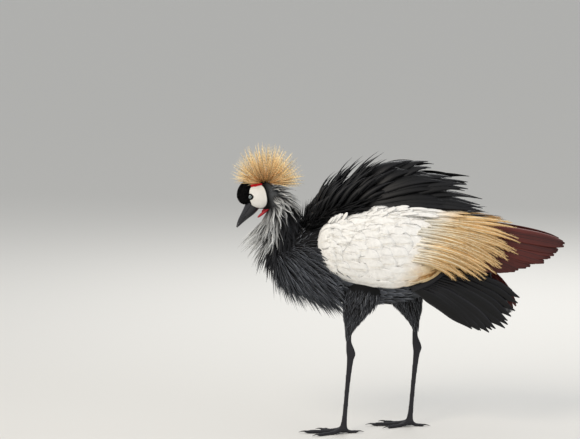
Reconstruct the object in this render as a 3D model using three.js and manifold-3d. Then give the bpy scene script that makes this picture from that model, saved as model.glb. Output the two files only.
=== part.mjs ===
// Grey crowned crane, life size, standing with its neck drawn in, bill lowered and back plumes lifted.
// Millimetres, +Z up. The bill points along -X, the bird's left side faces -Y, and the feet stand at z = 0.
import * as THREE from "three";
import { mergeVertices } from "three/addons/utils/BufferGeometryUtils.js";
import Module from "manifold-3d";

const wasm = await Module();
wasm.setup();

const gap = 0.3; // clear space between pieces that touch
const left = -1;
const right = 1;

const at = (x, y, z) => new THREE.Vector3(x, y, z);
const mix = THREE.MathUtils.lerp;
const radians = THREE.MathUtils.degToRad;
const share = (i, count) => (count > 1 ? i / (count - 1) : 0.5);

// Seeded draws, so that the feathers vary the same way on every run.
let seed = 7;
function draw(low, high) {
  seed = (seed * 1664525 + 1013904223) % 4294967296;
  return low + (high - low) * (seed / 4294967296);
}

// Solids

// A closed surface as a solid, turned outside out where its faces point inwards.
function solidOf(geometry) {
  const bare = geometry.index ? geometry.toNonIndexed() : geometry.clone();
  bare.deleteAttribute("normal");
  bare.deleteAttribute("uv");
  const merged = mergeVertices(bare, 1e-4);
  const points = merged.attributes.position.array;
  const faces = new Uint32Array(merged.index.array);
  if (signedVolume(points, faces) < 0) {
    for (let i = 0; i < faces.length; i += 3) {
      [faces[i + 1], faces[i + 2]] = [faces[i + 2], faces[i + 1]];
    }
  }
  return new wasm.Manifold(
    new wasm.Mesh({ numProp: 3, vertProperties: points, triVerts: faces }),
  );
}

function signedVolume(points, faces) {
  const [a, b, c] = [at(0, 0, 0), at(0, 0, 0), at(0, 0, 0)];
  let sum = 0;
  for (let i = 0; i < faces.length; i += 3) {
    a.fromArray(points, 3 * faces[i]);
    b.fromArray(points, 3 * faces[i + 1]);
    c.fromArray(points, 3 * faces[i + 2]);
    sum += a.dot(b.cross(c));
  }
  return sum;
}

// A closed skin through rings of points: each end is closed by a fan to the point given for it.
function skinThrough(rings, startPoint, endPoint) {
  const sides = rings[0].length;
  const points = [...rings.flat(), startPoint, endPoint];
  const startAt = points.length - 2;
  const endAt = points.length - 1;
  const faces = [];
  for (let k = 0; k < sides; k++) {
    const next = (k + 1) % sides;
    faces.push(startAt, next, k);
    for (let i = 0; i + 1 < rings.length; i++) {
      const here = i * sides;
      const there = here + sides;
      faces.push(here + k, here + next, there + next);
      faces.push(here + k, there + next, there + k);
    }
    const last = (rings.length - 1) * sides;
    faces.push(last + k, last + next, endAt);
  }
  const geometry = new THREE.BufferGeometry().setFromPoints(points);
  geometry.setIndex(faces);
  return solidOf(geometry);
}

const middleOf = (ring) =>
  ring.reduce((sum, p) => sum.add(p), at(0, 0, 0)).divideScalar(ring.length);

const joined = (solids) => wasm.Manifold.union(solids);

function largest(solid) {
  const bodies = solid.decompose();
  return bodies.reduce((a, b) => (b.volume() > a.volume() ? b : a));
}

// A ball stretched to three radii, pitched about Y and moved to its place.
function ball(centre, radii, pitch = 0, grow = 0, round = 16) {
  const geometry = new THREE.SphereGeometry(1, round, Math.round(round * 0.6));
  geometry.rotateX(Math.PI / 2);
  geometry.scale(radii[0] + grow, radii[1] + grow, radii[2] + grow);
  geometry.rotateY(radians(pitch));
  geometry.translate(centre.x, centre.y, centre.z);
  return solidOf(geometry);
}

function block(low, high) {
  const geometry = new THREE.BoxGeometry(
    high[0] - low[0],
    high[1] - low[1],
    high[2] - low[2],
  );
  geometry.translate(
    (high[0] + low[0]) / 2,
    (high[1] + low[1]) / 2,
    (high[2] + low[2]) / 2,
  );
  return solidOf(geometry);
}

// A body form: an oval section carried along a centre line through stations [x, y, z, half width, half height].
// Angle 0 is the bird's right, 90 its back, 180 its left and 270 its underside.
class Form {
  constructor(stations) {
    this.line = new THREE.CatmullRomCurve3(
      stations.map(([x, y, z]) => at(x, y, z)),
    );
    this.size = new THREE.CatmullRomCurve3(
      stations.map((s) => at(s[3], s[4], 0)),
      false,
      "chordal",
    );
  }

  frame(u) {
    const along = this.line.getTangent(u);
    const up = along.clone().cross(at(0, 1, 0)).normalize();
    const side = up.clone().cross(along).normalize();
    return { centre: this.line.getPoint(u), size: this.size.getPoint(u), along, up, side };
  }

  // A point of the skin at share u of the length and an angle in degrees.
  point(u, angle, grow = 0) {
    const { centre, size, up, side } = this.frame(u);
    const wide = Math.cos(radians(angle)) * (size.x + grow);
    const high = Math.sin(radians(angle)) * (size.y + grow);
    return centre.addScaledVector(side, wide).addScaledVector(up, high);
  }

  // The same point with the skin's outward direction and its direction towards the far end.
  surface(u, angle) {
    const along = this.point(u + 0.01, angle).sub(this.point(u - 0.01, angle)).normalize();
    const around = this.point(u, angle + 1).sub(this.point(u, angle - 1));
    return { point: this.point(u, angle), out: around.cross(along).normalize(), along };
  }

  solid({ from = 0, to = 1, steps = 16, sides = 18, grow = 0 } = {}) {
    const rings = [];
    for (let i = 0; i <= steps; i++) {
      const u = mix(from, to, i / steps);
      rings.push(
        Array.from({ length: sides }, (_, k) => this.point(u, (360 * k) / sides, grow)),
      );
    }
    const start = middleOf(rings[0]).addScaledVector(this.line.getTangent(from), -grow);
    const end = middleOf(rings[steps]).addScaledVector(this.line.getTangent(to), grow);
    return skinThrough(rings, start, end);
  }
}

// Feathers

// How wide a feather is at a share of its length, from 0 to 1 of its full width.
const outlines = {
  paddle: (t) => 0.55 + 0.45 * Math.sin(Math.PI * Math.min(1, 0.15 + t * 0.75)),
  lance: (t) => Math.min(1, 0.5 + 1.6 * t) * (1 - 0.75 * Math.max(0, t - 0.35)),
  flight: (t) => Math.min(1, 0.62 + 0.9 * t),
  spike: (t) => 1 - 0.62 * t,
};

const plate = (w, h) => [[-w, -h], [w, -h], [w, h], [-w, h]];
const ridge = (w, h) => [[-w, -h], [w, -h], [0, h]];

// A feather, lock or bristle: a section carried along a path and narrowed to a point at its tip.
// face is the way its outer side looks, and lean turns it about its own length, in degrees.
function blade(feather, grow) {
  const { path, face, width, thick, outline, section = plate, steps = 3, tip = 0.9, lean = 0 } = feather;
  const rings = [];
  for (let i = 0; i < steps; i++) {
    const t = (tip * i) / (steps - 1);
    const along = path.getTangent(t);
    const side = along.clone().cross(face).normalize().applyAxisAngle(along, radians(lean));
    const out = side.clone().cross(along).normalize();
    const centre = path.getPoint(t);
    if (i === 0) centre.addScaledVector(along, -grow);
    const half = (width / 2) * outline(t) + grow;
    rings.push(
      section(half, thick / 2 + grow).map(([w, h]) =>
        centre.clone().addScaledVector(side, w).addScaledVector(out, h),
      ),
    );
  }
  const end = path.getPoint(1).addScaledVector(path.getTangent(1), 2 * grow);
  return skinThrough(rings, middleOf(rings[0]), end);
}

// A path that leaves root along one direction and ends along another.
function bentPath(root, start, finish, length) {
  const half = length / 2;
  const middle = root.clone().addScaledVector(start, half);
  const end = middle.clone().addScaledVector(finish, half);
  return new THREE.QuadraticBezierCurve3(root, middle, end);
}

// A path from root to tip that bows out by sag at its middle.
function bowedPath(root, tip, bow) {
  const middle = root.clone().lerp(tip, 0.5).addScaledVector(bow, 2);
  return new THREE.QuadraticBezierCurve3(root, middle, tip);
}

// Locks set in rows on a form: each row gives its share along it, the angles it spans and its lock's sizes.
// lift is how steeply a lock leaves the surface, flare how far its end still stands off, and bib adds to both
// on the underside.
const lockSink = 4.5; // how deep a lock is rooted
const lockThick = 2.4;

function locksOn(form, rows) {
  const locks = [];
  rows.forEach((row, r) => {
    const step = (row.angles[1] - row.angles[0]) / row.count;
    for (let i = 0; i < row.count; i++) {
      const angle = row.angles[0] + (i + 0.25 + (r % 2) * 0.5) * step + draw(-2, 2);
      const { point, out, along } = form.surface(row.u + draw(-0.008, 0.008), angle);
      const under = Math.max(0, -Math.sin(radians(angle)));
      const lift = row.lift + (row.bib ?? 0) * under + draw(-0.06, 0.06);
      const flare = row.flare + (row.bib ?? 0) * under;
      const start = along.clone().addScaledVector(out, lift).normalize();
      const finish = along
        .clone()
        .addScaledVector(out, flare)
        .add(at(0, 0, -row.fall))
        .normalize();
      const length = row.length * (1 + (row.bib ?? 0) * 0.3 * under) * draw(0.88, 1.12);
      locks.push({
        path: bentPath(point.addScaledVector(out, -lockSink), start, finish, length),
        face: out,
        width: row.width,
        thick: lockThick,
        outline: outlines.spike,
        section: ridge,
        steps: 2,
        tip: 0.52,
      });
    }
  });
  return locks;
}

// Torso, neck and head forms

const torsoForm = new Form([
  [-288, 0, 402, 12, 14],
  [-276, 0, 401, 34, 38],
  [-235, 0, 398, 58, 72],
  [-165, 0, 402, 76, 104],
  [-80, 0, 409, 84, 119],
  [15, 0, 414, 79, 113],
  [95, 0, 424, 56, 76],
  [160, 0, 430, 30, 36],
  [190, 0, 428, 16, 18],
]);

const neckForm = new Form([
  [-300, 0, 552, 19, 20],
  [-281, 0, 538, 22, 23],
  [-267, 0, 508, 25, 27],
  [-262, 0, 470, 30, 33],
  [-258, 0, 432, 40, 44],
  [-235, 0, 395, 50, 54],
]);
const neckSplit = 0.5; // where the pale upper neck ends and the dark lower neck begins
const allRound = [-90, 270];

const torsoCore = (grow) => torsoForm.solid({ steps: 12, sides: 14, grow });

// Breast and flank feathers, up to the fold of each wing.
const torsoLocks = () =>
  locksOn(torsoForm, [
    { u: 0.1, count: 6, angles: [190, 350], length: 60, width: 15, lift: 0.45, flare: 0.15, fall: 0.5 },
    { u: 0.2, count: 6, angles: [200, 340], length: 66, width: 17, lift: 0.4, flare: 0.1, fall: 0.4 },
    { u: 0.3, count: 5, angles: [212, 328], length: 66, width: 18, lift: 0.35, flare: 0.05, fall: 0.3 },
  ]);

const neckUpperCore = (grow) =>
  neckForm.solid({ from: 0, to: neckSplit, steps: 5, sides: 12, grow });
const neckLowerCore = (grow) =>
  neckForm.solid({ from: neckSplit + 0.002, to: 1, steps: 4, sides: 12, grow });

const neckUpperLocks = () =>
  locksOn(neckForm, [
    { u: 0.12, count: 5, angles: [35, 145], length: 34, width: 9, lift: 1.3, flare: 0.8, fall: 0 },
    { u: 0.2, count: 6, angles: [5, 175], length: 40, width: 10, lift: 1.0, flare: 0.5, fall: 0.2 },
    { u: 0.29, count: 10, angles: allRound, length: 46, width: 11, lift: 0.8, flare: 0.3, fall: 0.4, bib: 0.6 },
    { u: 0.37, count: 10, angles: allRound, length: 54, width: 12, lift: 0.6, flare: 0.2, fall: 0.5, bib: 1.3 },
    { u: 0.45, count: 11, angles: allRound, length: 60, width: 13, lift: 0.5, flare: 0.15, fall: 0.5, bib: 1.7 },
  ]);

const neckLowerLocks = () =>
  locksOn(neckForm, [
    { u: 0.55, count: 11, angles: allRound, length: 56, width: 13, lift: 0.5, flare: 0.2, fall: 0.4, bib: 2.0 },
    { u: 0.66, count: 11, angles: allRound, length: 58, width: 14, lift: 0.45, flare: 0.15, fall: 0.4, bib: 1.1 },
    { u: 0.77, count: 10, angles: allRound, length: 58, width: 15, lift: 0.4, flare: 0.1, fall: 0.5 },
  ]);

// Head: skull, forehead cushion, bare cheeks, and lids round the eyes.

const skull = { centre: at(-320, 0, 549), radii: [37, 23, 30], pitch: 38 };
const cushion = { centre: at(-348, 0, 553), radii: [20, 19, 27], pitch: 14 };
const eye = { centre: at(-338.5, 17.5, 543.5), radius: 6.2 };
const lid = { radii: [8.4, 4.6, 7.4], out: 1.0 };
const cheek = { centre: at(-317.5, 18.5, 543), radii: [18.5, 7.5, 27.5], pitch: -8 };

const onSide = (point, side) => at(point.x, point.y * side, point.z);
const eyeBall = (side, grow) =>
  ball(onSide(eye.centre, side), [eye.radius, eye.radius, eye.radius], 0, grow, 9);

function headCore(grow) {
  const pieces = [
    ball(skull.centre, skull.radii, skull.pitch, grow, 12),
    ball(cushion.centre, cushion.radii, cushion.pitch, grow, 10),
  ];
  for (const side of [left, right]) {
    const lidCentre = onSide(eye.centre, side).add(at(0, side * lid.out, 0));
    pieces.push(
      ball(onSide(cheek.centre, side), cheek.radii, cheek.pitch, grow, 9),
      ball(lidCentre, lid.radii, 0, grow, 8),
    );
  }
  return joined(pieces);
}

// Bill: one tapering form, parted along the mouth line into its two halves, with a nostril in each side.

const billForm = new Form([
  [-328, 0, 531, 13, 17],
  [-338, 0, 516, 12, 16.5],
  [-349, 0, 501, 9.5, 12.5],
  [-359.5, 0, 487, 6, 7.5],
  [-369, 0, 473.5, 1.6, 1.8],
]);
const mouth = { belowAxis: 3.2, slot: 0.35 };
const nostril = { along: 0.5, out: 8.6, up: 3.2, radii: [5.2, 3, 1.9] };

// A half space above (1) or below (-1) the mouth line, as a large turned block.
function mouthSide(way, grow) {
  const { centre, along } = billForm.frame(0.6);
  const pitch = Math.atan2(-along.z, along.x);
  const inner = way * (mouth.slot / 2) - way * grow - mouth.belowAxis;
  const geometry = new THREE.BoxGeometry(200, 80, 60);
  geometry.translate(0, 0, inner + way * 30);
  geometry.rotateY(pitch);
  geometry.translate(centre.x, centre.y, centre.z);
  return solidOf(geometry);
}

function billHalf(way, grow) {
  const whole = billForm.solid({ steps: 7, sides: 10, grow });
  let half = whole.intersect(mouthSide(way, grow));
  if (way < 0) return half; // the nostrils are in the upper half alone
  const { centre, along, up } = billForm.frame(nostril.along);
  for (const side of [left, right]) {
    const place = centre
      .clone()
      .addScaledVector(up, nostril.up)
      .add(at(0, side * nostril.out, 0));
    const pitch = THREE.MathUtils.radToDeg(Math.atan2(-along.z, along.x));
    half = half.subtract(ball(place, nostril.radii, pitch, 0, 8));
  }
  return half;
}

// Red wattle under the throat: two narrow folds that slant down and forwards, and the bulb that carries them.
const wattle = { slant: -39, bulb: at(-301, 0, 517), fold: at(-306, 4, 508.5) };

function wattleCore(grow) {
  const pieces = [ball(wattle.bulb, [13, 6, 7], wattle.slant, grow, 8)];
  for (const side of [left, right]) {
    pieces.push(ball(onSide(wattle.fold, side), [19, 4.2, 5], wattle.slant, grow, 8));
  }
  return joined(pieces);
}

// Crest: bristles fanned from a pad on the rear crown, in rows from one side of the head to the other.

const crest = {
  centre: at(-303, 0, 579),
  pad: [16, 14, 11],
  rows: 7,
  side: 50,
  rear: -2,
  front: 172,
  reach: 90,
};

const crestCore = (grow) => ball(crest.centre, crest.pad, 0, grow, 8);

function crestBristles() {
  const bristles = [];
  for (let r = 0; r < crest.rows; r++) {
    const lean = mix(-crest.side, crest.side, share(r, crest.rows));
    const count = Math.round(9.6 * Math.cos(radians(lean)));
    for (let i = 0; i < count; i++) {
      const turn = mix(crest.rear, crest.front, share(i, count)) + draw(-2, 2);
      const tilt = lean + draw(-2, 2);
      const fan = at(Math.cos(radians(turn)), 0, Math.sin(radians(turn)));
      const way = fan.multiplyScalar(Math.cos(radians(tilt))).add(at(0, Math.sin(radians(tilt)), 0));
      const reach = crest.reach * (turn > 120 ? mix(1, 0.82, (turn - 120) / 60) : 1) * draw(0.95, 1.05);
      const root = way.clone().multiply(at(...crest.pad)).multiplyScalar(0.88).add(crest.centre);
      const tip = way.clone().multiplyScalar(reach).add(crest.centre);
      bristles.push({
        path: new THREE.LineCurve3(root, tip),
        face: at(0, 1, 0.02),
        width: 2.3,
        thick: 2,
        outline: outlines.spike,
        section: ridge,
        steps: 2,
        tip: 0.7,
      });
    }
  }
  return bristles;
}

// Back plumes: a low pad over the shoulders, long plumes that sweep back, and short ones that stand as spikes.

const mantleForm = new Form([
  [-214, 0, 458, 22, 20],
  [-190, 0, 480, 44, 30],
  [-150, 0, 502, 56, 34],
  [-100, 0, 518, 58, 32],
  [-50, 0, 528, 46, 26],
  [-14, 0, 532, 22, 15],
]);

const mantleCore = (grow) => mantleForm.solid({ steps: 6, sides: 12, grow });

// Long plumes on each flank, from the outermost and lowest to the highest: root share and angle, then the tip.
const longPlumes = [
  { root: [0.8, -4], tip: [192, 66, 514], width: 28, bow: 14 },
  { root: [0.84, 14], tip: [190, 54, 532], width: 30, bow: 20 },
  { root: [0.84, 32], tip: [150, 42, 566], width: 28, bow: 24 },
  { root: [0.8, 48], tip: [167, 30, 584], width: 28, bow: 26 },
  { root: [0.8, 64], tip: [79, 22, 602], width: 24, bow: 22 },
  { root: [0.74, 80], tip: [80, 8, 622], width: 20, bow: 22 },
];

function mantlePlumes() {
  const plumes = [];
  for (const side of [left, right]) {
    longPlumes.forEach(({ root, tip, width, bow }, i) => {
      const angle = side === right ? root[1] : 180 - root[1];
      const { point, out } = mantleForm.surface(root[0], angle);
      const end = at(tip[0] + draw(-4, 4), tip[1] * side, tip[2]);
      plumes.push({
        path: bowedPath(point.addScaledVector(out, -6), end, at(0, side * 0.4 * bow, bow)),
        face: at(0, side * mix(0.8, 0.35, share(i, 6)), 0.7),
        width,
        thick: 1.4,
        outline: outlines.lance,
        steps: 3,
        tip: 0.8,
        lean: side * 6,
      });
    });
  }
  return plumes;
}

// Spikes stand in lines along the shoulders. Their tips follow one arched line over the middle of the back,
// and sink and spread with each line further out.
const spikes = {
  count: 7,
  lines: [0, 0.55, 1],
  along: [0.02, 0.62],
  angles: [90, 32],
  tips: [[-214, 503], [-192, 530], [-172, 570], [-149, 609], [-109, 631], [-63, 645], [-25, 651], [5, 622]],
  spread: 46,
  sink: 40,
};

function mantleSpikes() {
  const crestLine = new THREE.CatmullRomCurve3(spikes.tips.map(([x, z]) => at(x, 0, z)));
  const blades = [];
  for (const side of [left, right]) {
    for (const line of spikes.lines) {
      if (line === 0 && side === right) continue;
      for (let i = 0; i < spikes.count; i++) {
        const t = share(i, spikes.count);
        const turn = mix(...spikes.angles, line);
        const u = mix(...spikes.along, t) + line * 0.03;
        const { point, out } = mantleForm.surface(u, side === right ? turn : 180 - turn);
        const tip = crestLine
          .getPoint(mix(0.15 * line, 1 - 0.03 * line, t))
          .add(at(draw(-5, 5), side * line * spikes.spread, draw(-5, 5) - line * spikes.sink));
        blades.push({
          path: bowedPath(point.addScaledVector(out, -5), tip, at(-7, side * line * 6, 5)),
          face: at(-0.6, side * line * 1.2, 1),
          width: mix(11, 17, t),
          thick: 2.4,
          outline: outlines.lance,
          section: ridge,
          steps: 2,
          tip: 0.6,
        });
      }
    }
  }
  return blades;
}

// Wings: each a shell over the flank, clad in white coverts and long straw-gold plumes.

function wingForm(side) {
  return new Form(
    [
      [-180, 62, 432, 12, 16],
      [-168, 60, 430, 32, 44],
      [-112, 62, 430, 40, 74],
      [-32, 66, 435, 38, 92],
      [40, 60, 438, 34, 86],
      [72, 56, 439, 30, 76],
      [92, 53, 440, 26, 68],
    ].map(([x, y, z, wide, high]) => [x, y * side, z, wide, high]),
  );
}

const wingForms = { [left]: wingForm(left), [right]: wingForm(right) };
const wingCore = (side, grow) => wingForms[side].solid({ steps: 8, sides: 14, grow });

// Each row of coverts: its share along the wing, the heights it spans (1 is the wing's top edge, -1 its lower
// edge) and its feather's sizes.
const covertRows = [
  { u: 0.06, count: 3, heights: [0.55, -0.55], run: 0.2, drop: 6, width: 26 },
  { u: 0.19, count: 4, heights: [0.76, -0.76], run: 0.2, drop: 6, width: 34 },
  { u: 0.33, count: 4, heights: [0.82, -0.82], run: 0.21, drop: 5, width: 44 },
  { u: 0.49, count: 5, heights: [0.86, -0.9], run: 0.21, drop: 5, width: 38 },
  { u: 0.65, count: 4, heights: [0.76, -0.84], run: 0.24, drop: 4, width: 46 },
];
const angleAt = (height) => 180 - THREE.MathUtils.radToDeg(Math.asin(height));

// Coverts follow the wing's surface: the root is sunk in it and the rest lies just over it, rising to the tip.
const covertLift = [-3, 3.4, 5.4];

function coverts(side) {
  const form = wingForms[side];
  const feathers = [];
  const turned = (angle) => (side === left ? angle : 180 - angle);
  covertRows.forEach((row) => {
    for (let i = 0; i < row.count; i++) {
      const angle = angleAt(mix(...row.heights, share(i, row.count)));
      const points = covertLift.map((lift, k) => {
        const { point, out } = form.surface(row.u + (row.run * k) / 2, turned(angle + (row.drop * k) / 2));
        return point.addScaledVector(out, lift);
      });
      feathers.push({
        path: new THREE.CatmullRomCurve3(points),
        face: form.surface(row.u + row.run / 2, turned(angle)).out,
        width: row.width,
        thick: 1.6,
        outline: outlines.paddle,
        steps: 3,
        tip: 0.86,
      });
    }
  });
  return feathers;
}

// Gold plumes fan out from the wing's rear end: heights of the first and last root, how far in from the skin
// they start, and the line that their tips lie on.
const goldFan = {
  count: 10,
  heights: [0.9, -0.86],
  inset: 6,
  tips: [[247, 34, 486], [263, 50, 430], [240, 68, 392], [188, 80, 358], [96, 90, 362]],
  width: 13,
};

function goldPlumes(side) {
  const tips = new THREE.CatmullRomCurve3(goldFan.tips.map(([x, y, z]) => at(x, y * side, z)));
  return Array.from({ length: goldFan.count }, (_, i) => {
    const t = share(i, goldFan.count);
    const turn = angleAt(mix(...goldFan.heights, t));
    const { point, out } = wingForms[side].surface(0.98, side === left ? turn : 180 - turn);
    const tip = tips.getPoint(t).add(at(draw(-7, 7), 0, draw(-2, 2)));
    const root = point.addScaledVector(out, -goldFan.inset);
    return {
      path: bowedPath(root, tip, at(0, side * mix(2, 8, t), 5)),
      face: at(0, side, mix(0.7, 0.05, t)),
      width: goldFan.width,
      thick: 1.6,
      outline: outlines.lance,
      steps: 3,
      tip: 0.82,
    };
  });
}

// A fan of flight feathers between a line of roots and a line of tips, the first feather uppermost. Each leans
// so that its lower edge lies over the next feather's upper edge.
function flightFan(fan, side) {
  const line = (points) => new THREE.CatmullRomCurve3(points.map(([x, y, z]) => at(x, y * side, z)));
  const roots = line(fan.roots);
  const tips = line(fan.tips);
  return Array.from({ length: fan.count }, (_, i) => {
    const t = share(i, fan.count);
    return {
      path: bowedPath(roots.getPoint(t), tips.getPoint(t), at(0, side * fan.bow[0], fan.bow[1])),
      face: at(0, side, mix(...fan.faceUp, t)),
      width: fan.width,
      thick: 1.0,
      outline: outlines.flight,
      steps: 3,
      tip: 0.93,
      lean: side * fan.lean,
    };
  });
}

// Chestnut secondaries, rooted along the wing's rear edge.
const secondaries = {
  count: 10,
  roots: [[104, 40, 482], [112, 50, 444], [104, 52, 402]],
  tips: [[378, 18, 444], [372, 28, 424], [344, 38, 404], [300, 46, 388], [254, 52, 378], [212, 56, 378]],
  width: 31,
  faceUp: [0.9, 0.1],
  lean: 9,
  bow: [4, 8],
  bar: [9, 11],
};

// The feathers of a fan spring from a bar along their roots.
function rootBar(fan, side, grow) {
  const bar = new Form(fan.roots.map(([x, y, z]) => [x - 4, y * side, z, ...fan.bar]));
  return bar.solid({ steps: 2, sides: 4, grow });
}

// Black primaries droop below the secondaries from the hand, tucked under the wing.
const primaries = {
  count: 8,
  roots: [[104, 50, 362], [72, 55, 349], [34, 57, 340]],
  tips: [[264, 64, 302], [260, 64, 272], [240, 62, 250], [206, 61, 240], [168, 61, 248]],
  width: 28,
  faceUp: [0.1, 0.1],
  lean: 10,
  bow: [3, 7],
  bar: [9, 11],
};

// Tail: black feathers fanned from the rump, the middle one uppermost.
const tail = { count: 9, root: at(191, 0, 384), length: 150, fan: 11, pitch: -44, width: 31, step: 2.2 };

const tailForm = new Form([
  [120, 0, 424, 30, 26],
  [160, 0, 410, 30, 24],
  [184, 0, 392, 28, 18],
  [194, 0, 381, 27, 13],
]);
const tailCore = (grow) => tailForm.solid({ steps: 4, sides: 10, grow });

function tailVanes() {
  const pitch = radians(tail.pitch);
  const flat = at(Math.cos(pitch), 0, Math.sin(pitch));
  const above = at(-Math.sin(pitch), 0, Math.cos(pitch));
  return Array.from({ length: tail.count }, (_, i) => {
    const outward = 2 * share(i, tail.count) - 1;
    const turn = radians(tail.fan * outward);
    const way = flat.clone().multiplyScalar(Math.cos(turn)).add(at(0, Math.sin(turn), 0));
    const drop = Math.round(Math.abs(outward) * 4) * tail.step + (outward > 0 ? tail.step / 2 : 0);
    const root = tail.root.clone().add(at(0, outward * 14, 0)).addScaledVector(above, 4.8 - drop);
    return {
      path: bentPath(root, way, way.clone().addScaledVector(above, -0.12).normalize(), tail.length),
      face: above,
      width: tail.width,
      thick: 1.0,
      outline: outlines.flight,
      steps: 3,
      tip: 0.94,
    };
  });
}

// Legs: feathered thigh, bare shank with its hock, four toes and their claws.

const stance = {
  [left]: { x: -112, y: -46 },
  [right]: { x: 44, y: 46 },
};

function thighForm(side) {
  const { x, y } = stance[side];
  const knee = side === left ? 26 : -22;
  return new Form([
    [x + knee * 1.4, y, 352, 30, 44],
    [x + knee, y, 318, 31, 44],
    [x + knee * 0.5, y, 282, 23, 31],
    [x + knee * 0.15, y, 252, 14, 17],
    [x, y, 232, 9.5, 10],
  ]);
}

function shankForm(side) {
  const { x, y } = stance[side];
  return new Form([
    [x + 1, y, 246, 6.5, 6.5],
    [x, y, 214, 6.2, 6.5],
    [x + 3, y, 196, 8.5, 9.5],
    [x + 5, y, 184, 9.2, 10.5],
    [x + 3, y, 168, 6.6, 7.6],
    [x - 3, y, 110, 5.2, 5.8],
    [x - 9, y, 40, 5.4, 6],
    [x - 12, y, 14, 7, 8],
  ]);
}

const toes = [
  { name: "middle", turn: 0, length: 90, radius: 5.4 },
  { name: "inner", turn: 34, length: 64, radius: 5 },
  { name: "outer", turn: -32, length: 72, radius: 5 },
  { name: "hind", turn: 168, length: 36, radius: 4.4 },
];
const clawLength = 15;

// Where a toe leaves the ball of the foot, and its way. Inner toes point towards the other foot.
function toeLine(side, toe) {
  const { x, y } = stance[side];
  const turn = radians(toe.turn * side);
  const way = at(-Math.cos(turn), -Math.sin(turn), 0);
  return { start: at(x - 12, y, 0), way };
}

function toeForm(side, toe) {
  const { start, way } = toeLine(side, toe);
  const rest = (part, z, r) => {
    const p = start.clone().addScaledVector(way, part * toe.length);
    return [p.x, p.y, z, r, r];
  };
  const r = toe.radius;
  return new Form([
    rest(0, 10, r * 1.15),
    rest(0.3, r * 1.1, r * 1.05),
    rest(0.42, r * 0.8, r),
    rest(0.62, r * 0.75, r * 0.84),
    rest(0.72, r * 0.76, r * 0.92),
    rest(0.9, r * 0.7, r * 0.76),
    rest(1, r * 0.8, r * 0.5),
  ]);
}

const belowFloor = block([-400, -300, -60], [400, 300, 0]);

function footCore(side, grow) {
  const { x, y } = stance[side];
  const pieces = toes.map((toe) => toeForm(side, toe).solid({ steps: 5, sides: 6, grow }));
  pieces.push(ball(at(x - 12, y, 10), [10, 9, 9], 0, grow, 7));
  return joined(pieces).subtract(belowFloor);
}

function clawCore(side, toe, grow) {
  const { start, way } = toeLine(side, toe);
  const root = start.clone().addScaledVector(way, toe.length - 5).setZ(toe.radius * 0.9);
  const rise = way.clone().add(at(0, 0, 0.16)).normalize();
  const claw = {
    path: bentPath(root, rise, way.clone().add(at(0, 0, -0.55)).normalize(), clawLength + 4),
    face: at(0, 0, 1),
    width: 5,
    thick: 4.6,
    outline: outlines.spike,
    section: (w, h) => [[-w, 0], [-w * 0.5, -h], [w * 0.5, -h], [w, 0], [0, h]],
    steps: 3,
    tip: 0.8,
  };
  return blade(claw, grow).subtract(belowFloor);
}

// Assembly: every node is a core with the feathers that grow from it.
// Cores are cut clear of the cores listed before them, and feathers of all other cores and of earlier feathers.

const both = [left, right];
const sideName = { [left]: "l", [right]: "r" };

const colours = {
  eye: ["#c9d2d0", 0.08],
  bill: ["#2c2c30", 0.42],
  head: ["#111113", 0.85],
  wattle: ["#b01622", 0.5],
  crest: ["#d9b070", 0.6],
  neckUpper: ["#9b9c9d", 0.8],
  neckLower: ["#2b2b2e", 0.8],
  torso: ["#3a3b40", 0.8],
  mantle: ["#1d1d1f", 0.55],
  wing: ["#f1efe8", 0.7],
  secondary: ["#5a2420", 0.7],
  primary: ["#121214", 0.6],
  leg: ["#2a2a2c", 0.6],
  claw: ["#1a1a1a", 0.4],
};

const nodes = [
  ...both.map((s) => ({ name: `eye_${sideName[s]}`, look: "eye", core: (g) => eyeBall(s, g) })),
  { name: "head", look: "head", core: headCore },
  { name: "bill_upper", look: "bill", core: (g) => billHalf(1, g) },
  { name: "bill_lower", look: "bill", core: (g) => billHalf(-1, g) },
  { name: "wattle", look: "wattle", core: wattleCore },
  { name: "crest", look: "crest", core: crestCore, feathers: crestBristles },
  { name: "torso", look: "torso", core: torsoCore, feathers: torsoLocks, feathersLast: true },
  { name: "neck_upper", look: "neckUpper", core: neckUpperCore, feathers: neckUpperLocks },
  { name: "neck_lower", look: "neckLower", core: neckLowerCore, feathers: neckLowerLocks },
  {
    name: "mantle",
    look: "mantle",
    core: mantleCore,
    feathers: () => [...mantlePlumes(), ...mantleSpikes()],
  },
  { name: "tail", look: "primary", core: tailCore, feathers: tailVanes, feathersLast: true },
  ...both.map((s) => ({
    name: `primaries_${sideName[s]}`,
    look: "primary",
    core: (g) => rootBar(primaries, s, g),
    feathers: () => flightFan(primaries, s),
    feathersLast: true,
  })),
  ...both.map((s) => ({
    name: `secondaries_${sideName[s]}`,
    look: "secondary",
    core: (g) => rootBar(secondaries, s, g),
    feathers: () => flightFan(secondaries, s),
    feathersLast: true,
  })),
  ...both.map((s) => ({
    name: `wing_${sideName[s]}`,
    look: "wing",
    core: (g) => wingCore(s, g),
    feathers: () => [...coverts(s), ...goldPlumes(s)],
  })),
  ...both.map((s) => ({
    name: `thigh_${sideName[s]}`,
    look: "torso",
    core: (g) => thighForm(s).solid({ steps: 6, sides: 10, grow: g }),
  })),
  ...both.map((s) => ({
    name: `shank_${sideName[s]}`,
    look: "leg",
    core: (g) => shankForm(s).solid({ steps: 10, sides: 7, grow: g }),
  })),
  ...both.map((s) => ({ name: `foot_${sideName[s]}`, look: "leg", core: (g) => footCore(s, g) })),
  ...both.flatMap((s) =>
    toes.map((toe) => ({
      name: `claw_${toe.name}_${sideName[s]}`,
      look: "claw",
      core: (g) => clawCore(s, toe, g),
    })),
  ),
];

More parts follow.
